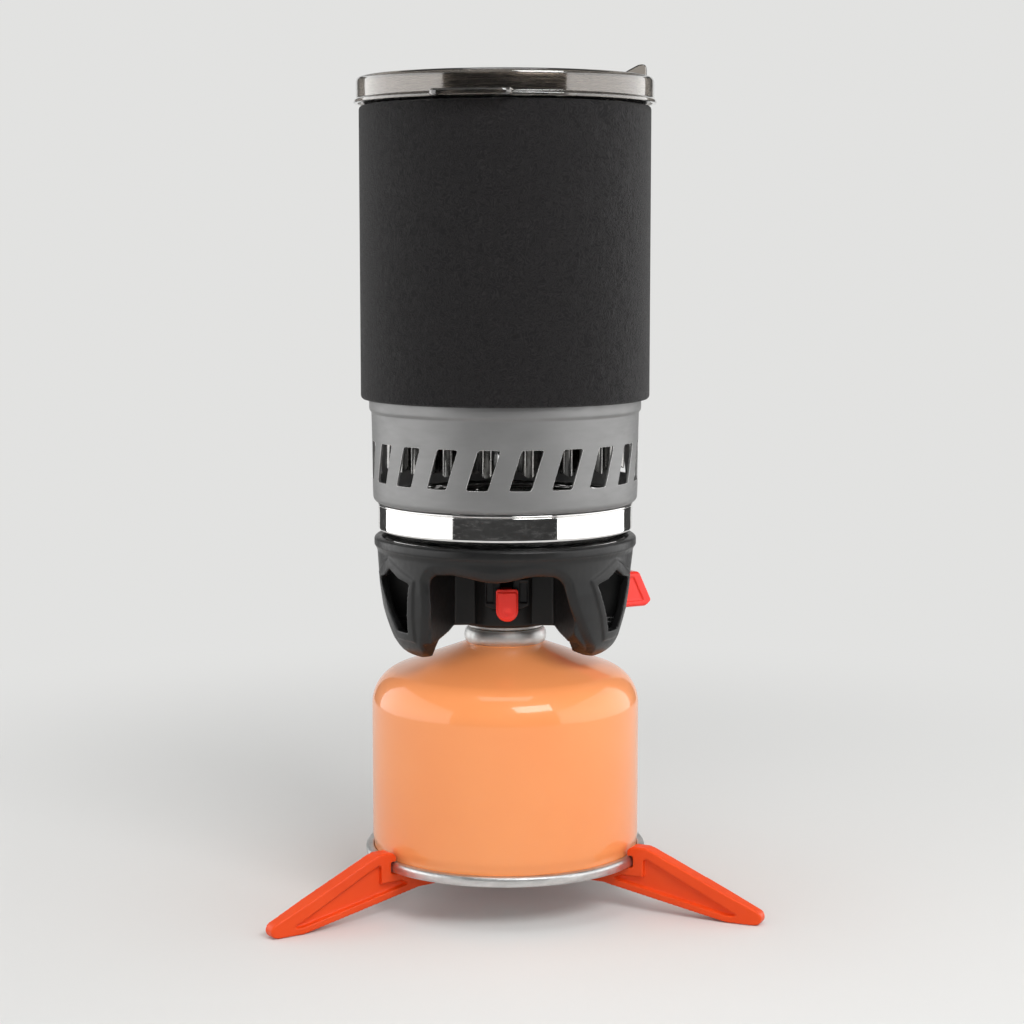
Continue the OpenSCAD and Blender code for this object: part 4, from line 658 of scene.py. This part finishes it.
# ---- Pot ----
# Deep-drawn aluminium with a stepped, rolled rim: brushed round the wall by its turning. The rim shows
# through the lid's clear edge, and the inside through the lid's top.
pot_at, pot_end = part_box("pot_cup")
BASE_Z, TOP_Z = pot_at.z / MM, pot_end.z / MM
RIM_R = (pot_end.x - AXIS[0]) / MM
POT_R = RIM_R - 3.1
STEP_Z = TOP_Z - 9.3
POT_WALL = 0.9
pot_outside = softened([
    [0, BASE_Z], [COLLAR_R - 5, BASE_Z], [COLLAR_R - 1.9, BASE_Z + 3.4], [COLLAR_R - 1.9, COLLAR_Z - 7.5],
    [COLLAR_R - 0.98, COLLAR_Z - 6], [COLLAR_R - 0.98, COLLAR_Z + 0.4], [POT_R - 0.05, COLLAR_Z + 1.5],
    [POT_R, COLLAR_Z + 2], [POT_R, STEP_Z], [RIM_R - 0.1, STEP_Z + 1.6], [RIM_R, STEP_Z + 2.6],
    [RIM_R, TOP_Z - 0.9]], [0, 3, 3, 1, 0.7, 0.5, 0.5, 1, 1.2, 1.2, 0.8, 0], 8)
rolled_rim = bow(RIM_R - 0.9, TOP_Z - 0.9, 0.9, 0, 200, 14)
pot_skin = np.vstack([pot_outside, rolled_rim, inwards(pot_outside, POT_WALL)[::-1]])
pot_skin[:, 0] = np.maximum(pot_skin[:, 0], 0)
pot_skin[-1] = [0, BASE_Z + POT_WALL]
drawn_pot = turned("drawn_pot", pot_skin, closed=False)
brushed = finish("brushed_aluminium", (0.5, 0.49, 0.48), 0.24, 1.0)
draw_marks = spread(brushed, grain(brushed, 0.02, (3, 3, 0.4), detail=4.0), 0, 1)
tint(brushed, draw_marks, (0.55, 0.54, 0.53), (0.42, 0.415, 0.41))
drive(brushed, "Roughness", spread(brushed, grain(brushed, 0.0004, (30, 30, 1), detail=3.0), 0.2, 0.32))
relief(brushed, grain(brushed, 0.0004, (40, 40, 1), detail=2.0), 0.000004, 0.5)
dress(drawn_pot, brushed)
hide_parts("pot_cup")
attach(drawn_pot, "pot")

# ---- Cozy ----
# A tube of 3 mm neoprene with a jersey face, stretched over the pot. It has a turned edge above and
# below, and a window with rounded corners where the handles' bracket comes through.
cozy_at, cozy_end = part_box("cozy")
COZY_LOW, COZY_HIGH = cozy_at.z / MM, cozy_end.z / MM
bracket_at, bracket_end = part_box("handle_bracket")
BRACKET_AZIMUTH = math.radians(167)
BRACKET_Z = (bracket_at.z + bracket_end.z) / 2 / MM
NEOPRENE = 3.0
COZY_R = POT_R + NEOPRENE + 0.1

# The patch with the window spans PATCH degrees and twice HALF_PATCH in height. Its loops run in over the
# outer face, round the lip, which stands LIP_BULGE into the window, and out again over the inner face.
PATCH, HALF_PATCH = 40, 36
HALF_WINDOW, WINDOW_CORNER, LIP_BULGE = (14.1, 26), 3.0, 0.5
LOOPS = 12
window = pierced(
    (math.radians(PATCH / 2) * COZY_R, HALF_PATCH), HALF_WINDOW, WINDOW_CORNER, 0.0, PATCH, 70, LOOPS)
half_circle = np.linspace(0, np.pi, 7)
lip = half_circle[1:-1]
window_depth = np.concatenate([
    np.zeros(LOOPS), NEOPRENE / 2 * (1 - np.cos(lip)), np.full(LOOPS, NEOPRENE)])
window_wide = np.concatenate([window[::-1], window[:1] + 0 * lip[:, None, None], window])
bulged = window_wide[LOOPS:LOOPS + len(lip)]
bulged -= (LIP_BULGE * np.sin(lip))[:, None, None] * np.sign(bulged)
window_patch = round_wall(
    BRACKET_AZIMUTH + window_wide[..., 0] / COZY_R, BRACKET_Z + window_wide[..., 1], COZY_R - window_depth[:, None])

# Above and below the patch the tube is whole, with a round hem; beside it the two faces are plain walls.
full_turn = BRACKET_AZIMUTH + np.radians(np.arange(360) - PATCH / 2)
open_turn = BRACKET_AZIMUTH + np.radians(np.arange(PATCH / 2, 361 - PATCH / 2))
hems = []
for start, end, way in (
        (BRACKET_Z + HALF_PATCH, COZY_HIGH, NEOPRENE / 2), (BRACKET_Z - HALF_PATCH, COZY_LOW, -NEOPRENE / 2)):
    run = np.stack([np.zeros(24), np.linspace(start, end - way, 24)], 1)
    hem = np.stack([NEOPRENE / 2 * (1 - np.cos(half_circle)), end - way + way * np.sin(half_circle)], 1)
    hem_line = np.vstack([run, hem, run[::-1] + [NEOPRENE, 0]])
    hems.append(round_wall(full_turn, hem_line[:, 1:], COZY_R - hem_line[:, :1]))
rows = BRACKET_Z + np.linspace(-HALF_PATCH, HALF_PATCH, 71)[:, None]
walls = [round_wall(open_turn, rows, r) for r in (COZY_R, COZY_R - NEOPRENE)]
cozy_sleeve = skin(
    "neoprene_cozy", (window_patch, False, True), *[(hem, False, True) for hem in hems],
    *[(wall, False, False) for wall in walls])

jersey = finish("jersey_neoprene", (0.012, 0.0115, 0.012), 0.9, Specular_IOR_Level=0.2, Sheen_Weight=0.12)
jersey.node_tree.nodes["Principled BSDF"].inputs["Sheen Roughness"].default_value = 0.45
CURL = 0.055
curls = maths(jersey.node_tree, "PINGPONG", grain(jersey, 0.0042, detail=1.5, distortion=1.6), CURL)
strands = spread(jersey, curls, 0, 1, 0.012, CURL)
tint(jersey, strands, (0.0075, 0.007, 0.0075), (0.018, 0.0165, 0.017))
relief(jersey, strands, 0.00022, 0.6)
relief(jersey, grain(jersey, 0.0005, detail=2.0), 0.00012, 0.6)
relief(jersey, grain(jersey, 0.02, detail=3.0), 0.0006, 0.25)
dress(cozy_sleeve, jersey)
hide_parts("cozy")
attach(cozy_sleeve, "pot")

# ---- Handles ----
# A stamped steel bracket is riveted to the pot, and two bent wires hook into its lugs. Each wire has a
# ribbed rubber sleeve on its upright grip, and folds forwards round the cozy.
WIRE, WIRE_GAP = 1.5, 2.2
PIVOT_R = COZY_R + WIRE + WIRE_GAP
PIVOT_X = 5.5
LEAN = math.radians(15)


def swept(path, radius, around=20):
    """Grid of a round wire along a path of points: each ring stands square to the path's direction. Its
    first side is any, and the next are carried along, less their part in that direction. The ends are domed."""
    ahead = np.gradient(path, axis=0)
    ahead /= np.linalg.norm(ahead, axis=1, keepdims=True)
    side, sides = np.array([0.31, 0.95, 0.08]), []
    for direction in ahead:
        side = side - direction * (side @ direction)
        side /= np.linalg.norm(side)
        sides.append(side)
    sides = np.array(sides)
    up = np.cross(ahead, sides)
    a = np.linspace(0, 2 * np.pi, around, endpoint=False)[:, None, None]
    ring = (np.cos(a) * sides + np.sin(a) * up).transpose(1, 0, 2)
    body = path[:, None] + radius * ring
    cap = np.radians([90, 60, 30])[:, None, None]
    first = path[0] - radius * np.sin(cap) * ahead[0] + radius * np.cos(cap) * ring[:1]
    last = path[-1] + radius * np.sin(cap[::-1]) * ahead[-1] + radius * np.cos(cap[::-1]) * ring[-1:]
    return np.concatenate([first, body, last])


def at_pivot(points, side):
    """Puts a handle's own points, +X forwards round the pot and +Y outwards, at its pivot: they are
    turned by LEAN, mirrored for the left one, and turned to the bracket's azimuth."""
    x, y, z = np.moveaxis(points, -1, 0)
    x, y = x * math.cos(LEAN) - y * math.sin(LEAN), x * math.sin(LEAN) + y * math.cos(LEAN)
    x = side * (x + PIVOT_X)
    y = y + math.sqrt(PIVOT_R**2 - PIVOT_X**2)
    turn = BRACKET_AZIMUTH + math.pi
    east = x * math.cos(turn) - y * math.sin(turn)
    north = x * math.sin(turn) + y * math.cos(turn)
    return np.stack([AXIS[0] + east * MM, AXIS[1] + north * MM, (BRACKET_Z + z) * MM], -1)


HANDLE_TALL = 50
half = HANDLE_TALL / 2 - WIRE
wrap = np.radians(np.linspace(0, 41, 14))
arm = np.stack([PIVOT_R - PIVOT_R * np.cos(wrap), PIVOT_R * np.sin(wrap), half + 0 * wrap], 1)
grip = arm[-1] * [1, 1, 0]
corners = np.vstack([[[0, 0, half - 8]], arm, (arm * [1, 1, -1])[::-1], [[0, 0, 8 - half]]])
wire_path = softened(corners, [0, 2.2] + [0.6] * 12 + [2.6, 2.6] + [0.6] * 12 + [2.2, 0], 7)
wire_steel = finish("wire_steel", (0.66, 0.66, 0.66), 0.22, 1.0)
drive(wire_steel, "Roughness", spread(wire_steel, grain(wire_steel, 0.001, (2, 2, 4)), 0.16, 0.34))
relief(wire_steel, grain(wire_steel, 0.0015, detail=3.0), 0.00004, 0.4)
ribbed = finish("ribbed_rubber", (0.018, 0.018, 0.018), 0.55, Specular_IOR_Level=0.4)
relief(ribbed, grain(ribbed, 0.0004, detail=2.0), 0.00003, 0.5)
RUBBER, RIB_DEEP, RIB_APART = 1.4, 0.22, 2.1
length = half - WIRE - 2
along = np.linspace(-length, length, 220)
ribs = WIRE + RUBBER - RIB_DEEP * (0.5 + 0.5 * np.cos(2 * np.pi * along / RIB_APART)) ** 3
ribs *= 1 - 0.25 * np.clip(np.abs(along) - length + 0.8, 0, 1) ** 2
sleeve_line = np.vstack([[[WIRE + 0.02, -length]], np.stack([ribs, along], 1), [[WIRE + 0.02, length]]])
a = np.linspace(0, 2 * np.pi, 48, endpoint=False)
sleeve_points = np.stack([
    grip[0] + sleeve_line[:, :1] * np.cos(a), grip[1] + sleeve_line[:, :1] * np.sin(a),
    sleeve_line[:, 1:] + 0 * a], -1)
for node, side in (("left", -1), ("right", 1)):
    wire = dress(skin(node + "_wire", (at_pivot(swept(wire_path, WIRE), side), False, True)), wire_steel)
    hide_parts(node + "_handle")
    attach(wire, node + "_handle")
    tube = dress(skin(node + "_ribbed_sleeve", (at_pivot(sleeve_points, side), True, True)), ribbed)
    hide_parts(node + "_sleeve")
    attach(tube, node + "_handle")
dress("handle_bracket", wire_steel)
dress("bracket_rivets", wire_steel)

# ---- Lid ----
# A thin smoke-tinted lid, moulded in clear plastic, that caps the polished rim of the pot. It has a lift
# tab in front, a drinking slot, a few strainer holes and a small thumb fin.
LID_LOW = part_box("lid")[0].z / MM
LID_TOP = TOP_Z + 1.5
LID_IN, PLUG_R = RIM_R + 0.3, RIM_R - 1.8
LID_R = LID_IN + 0.85
DECK = LID_TOP - 4
DECK_UNDER = DECK - 1.2
TAB_AZIMUTH = math.radians(-13)
lid_outline = softened([
    [0, DECK_UNDER], [PLUG_R - 3, DECK_UNDER], [PLUG_R - 1.2, DECK_UNDER - 1.6],
    [PLUG_R - 0.4, DECK_UNDER - 1.6], [PLUG_R, DECK_UNDER - 0.8], [PLUG_R, TOP_Z + 0.3], [LID_IN, TOP_Z + 0.3],
    [LID_IN, LID_LOW], [LID_R + 0.9, LID_LOW], [LID_R + 0.9, LID_LOW + 1.3], [LID_R, LID_LOW + 1.7],
    [LID_R, LID_TOP - 1.5], [LID_R - 0.5, LID_TOP - 0.4], [LID_R - 1.4, LID_TOP], [PLUG_R - 1, LID_TOP],
    [PLUG_R - 2, DECK], [0, DECK]],
    [0, 1, 0.6, 0.3, 0.4, 0.4, 0.4, 0.3, 0.5, 0.5, 0.5, 0.7, 0.7, 0.7, 0.6, 0.8, 0], 7)
clear_lid = turned("clear_lid", lid_outline, closed=False)


def plate(name, outline, low, high, edge=0.0):
    """Flat solid between two levels of a closed outline of (x, y), its edges drawn in by edge."""
    points = np.array(outline, float)
    middle = points.mean(0)
    drawn = points + edge * (middle - points) / np.linalg.norm(middle - points, axis=1, keepdims=True)
    shut = middle + 0 * points
    layers = [(shut, low), (drawn, low), (points, low + edge), (points, high - edge), (drawn, high), (shut, high)]
    return skin(name, (np.stack([np.column_stack([xy, np.full(len(xy), z)]) for xy, z in layers]), False, True))


def move(piece, turn, lift=0.0, stand_up=False):
    """Puts a plate made in millimetres at an azimuth round the stove's axis; stand_up turns its own X
    outwards along that azimuth and its Y up."""
    points = np.empty(3 * len(piece.data.vertices))
    piece.data.vertices.foreach_get("co", points)
    x, y, z = points.reshape(-1, 3).T
    if stand_up:
        x, y, z = z, -x, y
    points = np.stack([
        AXIS[0] + (x * math.cos(turn) - y * math.sin(turn)) * MM,
        AXIS[1] + (x * math.sin(turn) + y * math.cos(turn)) * MM, (z + lift) * MM], 1)
    piece.data.vertices.foreach_set("co", points.ravel())
    piece.data.update()
    return piece


def combine(piece, tool, operation):
    """Joins a solid to a piece or cuts it away, and drops the solid."""
    cut = piece.modifiers.new("combine", "BOOLEAN")
    cut.operation = operation
    cut.solver = "EXACT"
    cut.object = tool
    settle(piece)
    bpy.data.objects.remove(tool)


TAB_HALF, TAB_OUT, TAB_TALL, TAB_CORNER = 15.6, 5.4, 2.4, 4
tab = plate("tab", np.vstack([
    bow(TAB_HALF - TAB_CORNER, TAB_CORNER - TAB_OUT - LID_R, TAB_CORNER, 0, -90, 8),
    bow(TAB_CORNER - TAB_HALF, TAB_CORNER - TAB_OUT - LID_R, TAB_CORNER, -90, -180, 8),
    [[-TAB_HALF, 0.4 - LID_R], [0, 0.4 - LID_R], [TAB_HALF, 0.4 - LID_R]]]), LID_LOW, LID_LOW + TAB_TALL, 0.6)
combine(clear_lid, move(tab, TAB_AZIMUTH + math.radians(1)), "UNION")

FIN_T = 2.2
fin = plate("fin", softened([
    [LID_R - 2.4, LID_TOP - 1.2], [LID_R - 2.4, LID_TOP + 3.5], [LID_R - 3.3, LID_TOP + 4.4],
    [LID_R - 5.4, LID_TOP + 4.2], [LID_R - 12, LID_TOP + 0.8], [LID_R - 14.5, DECK - 0.5],
    [PLUG_R - 1.5, DECK - 0.5]], 0.8, 5, closed=True), -FIN_T / 2, FIN_T / 2, 0.35)
combine(clear_lid, move(fin, TAB_AZIMUTH + math.pi / 2, stand_up=True), "UNION")

slot = plate("slot", np.vstack([
    bow(9, 11 - PLUG_R, 3.6, 90, -90, 12), bow(-9, 11 - PLUG_R, 3.6, -90, -270, 12)]), DECK_UNDER - 1, DECK + 1)
combine(clear_lid, move(slot, TAB_AZIMUTH + math.pi), "DIFFERENCE")
HOLE_R, HOLES_APART, ROWS_APART, ROW_BEND = 1.6, 6, 5.4, 0.9
for row in range(3):
    for i in range(-3, 4):
        if abs(i) + row < 5:
            outline = bow(
                i * HOLES_APART, 9 - PLUG_R + row * ROWS_APART + abs(i) * ROW_BEND, HOLE_R, 0, 345, 24)
            hole = plate("hole", outline, DECK_UNDER - 1, DECK + 1)
            combine(clear_lid, move(hole, TAB_AZIMUTH), "DIFFERENCE")
clear_lid.data.polygons.foreach_set("use_smooth", np.ones(len(clear_lid.data.polygons), bool))
clear_lid.data.set_sharp_from_angle(angle=math.radians(38))

smoke = finish("smoke_plastic", (0.42, 0.38, 0.34), 0.03, Transmission_Weight=1.0, IOR=1.5,
               Coat_Weight=1.0, Coat_IOR=1.68, Coat_Roughness=0.1)
drive(smoke, "Roughness", spread(smoke, grain(smoke, 0.004, detail=4.0), 0.02, 0.07))
relief(smoke, grain(smoke, 0.006, (2, 2, 1), detail=1.0), 0.00004, 0.3)
dress(clear_lid, smoke)
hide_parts("lid")
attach(clear_lid, "lid")
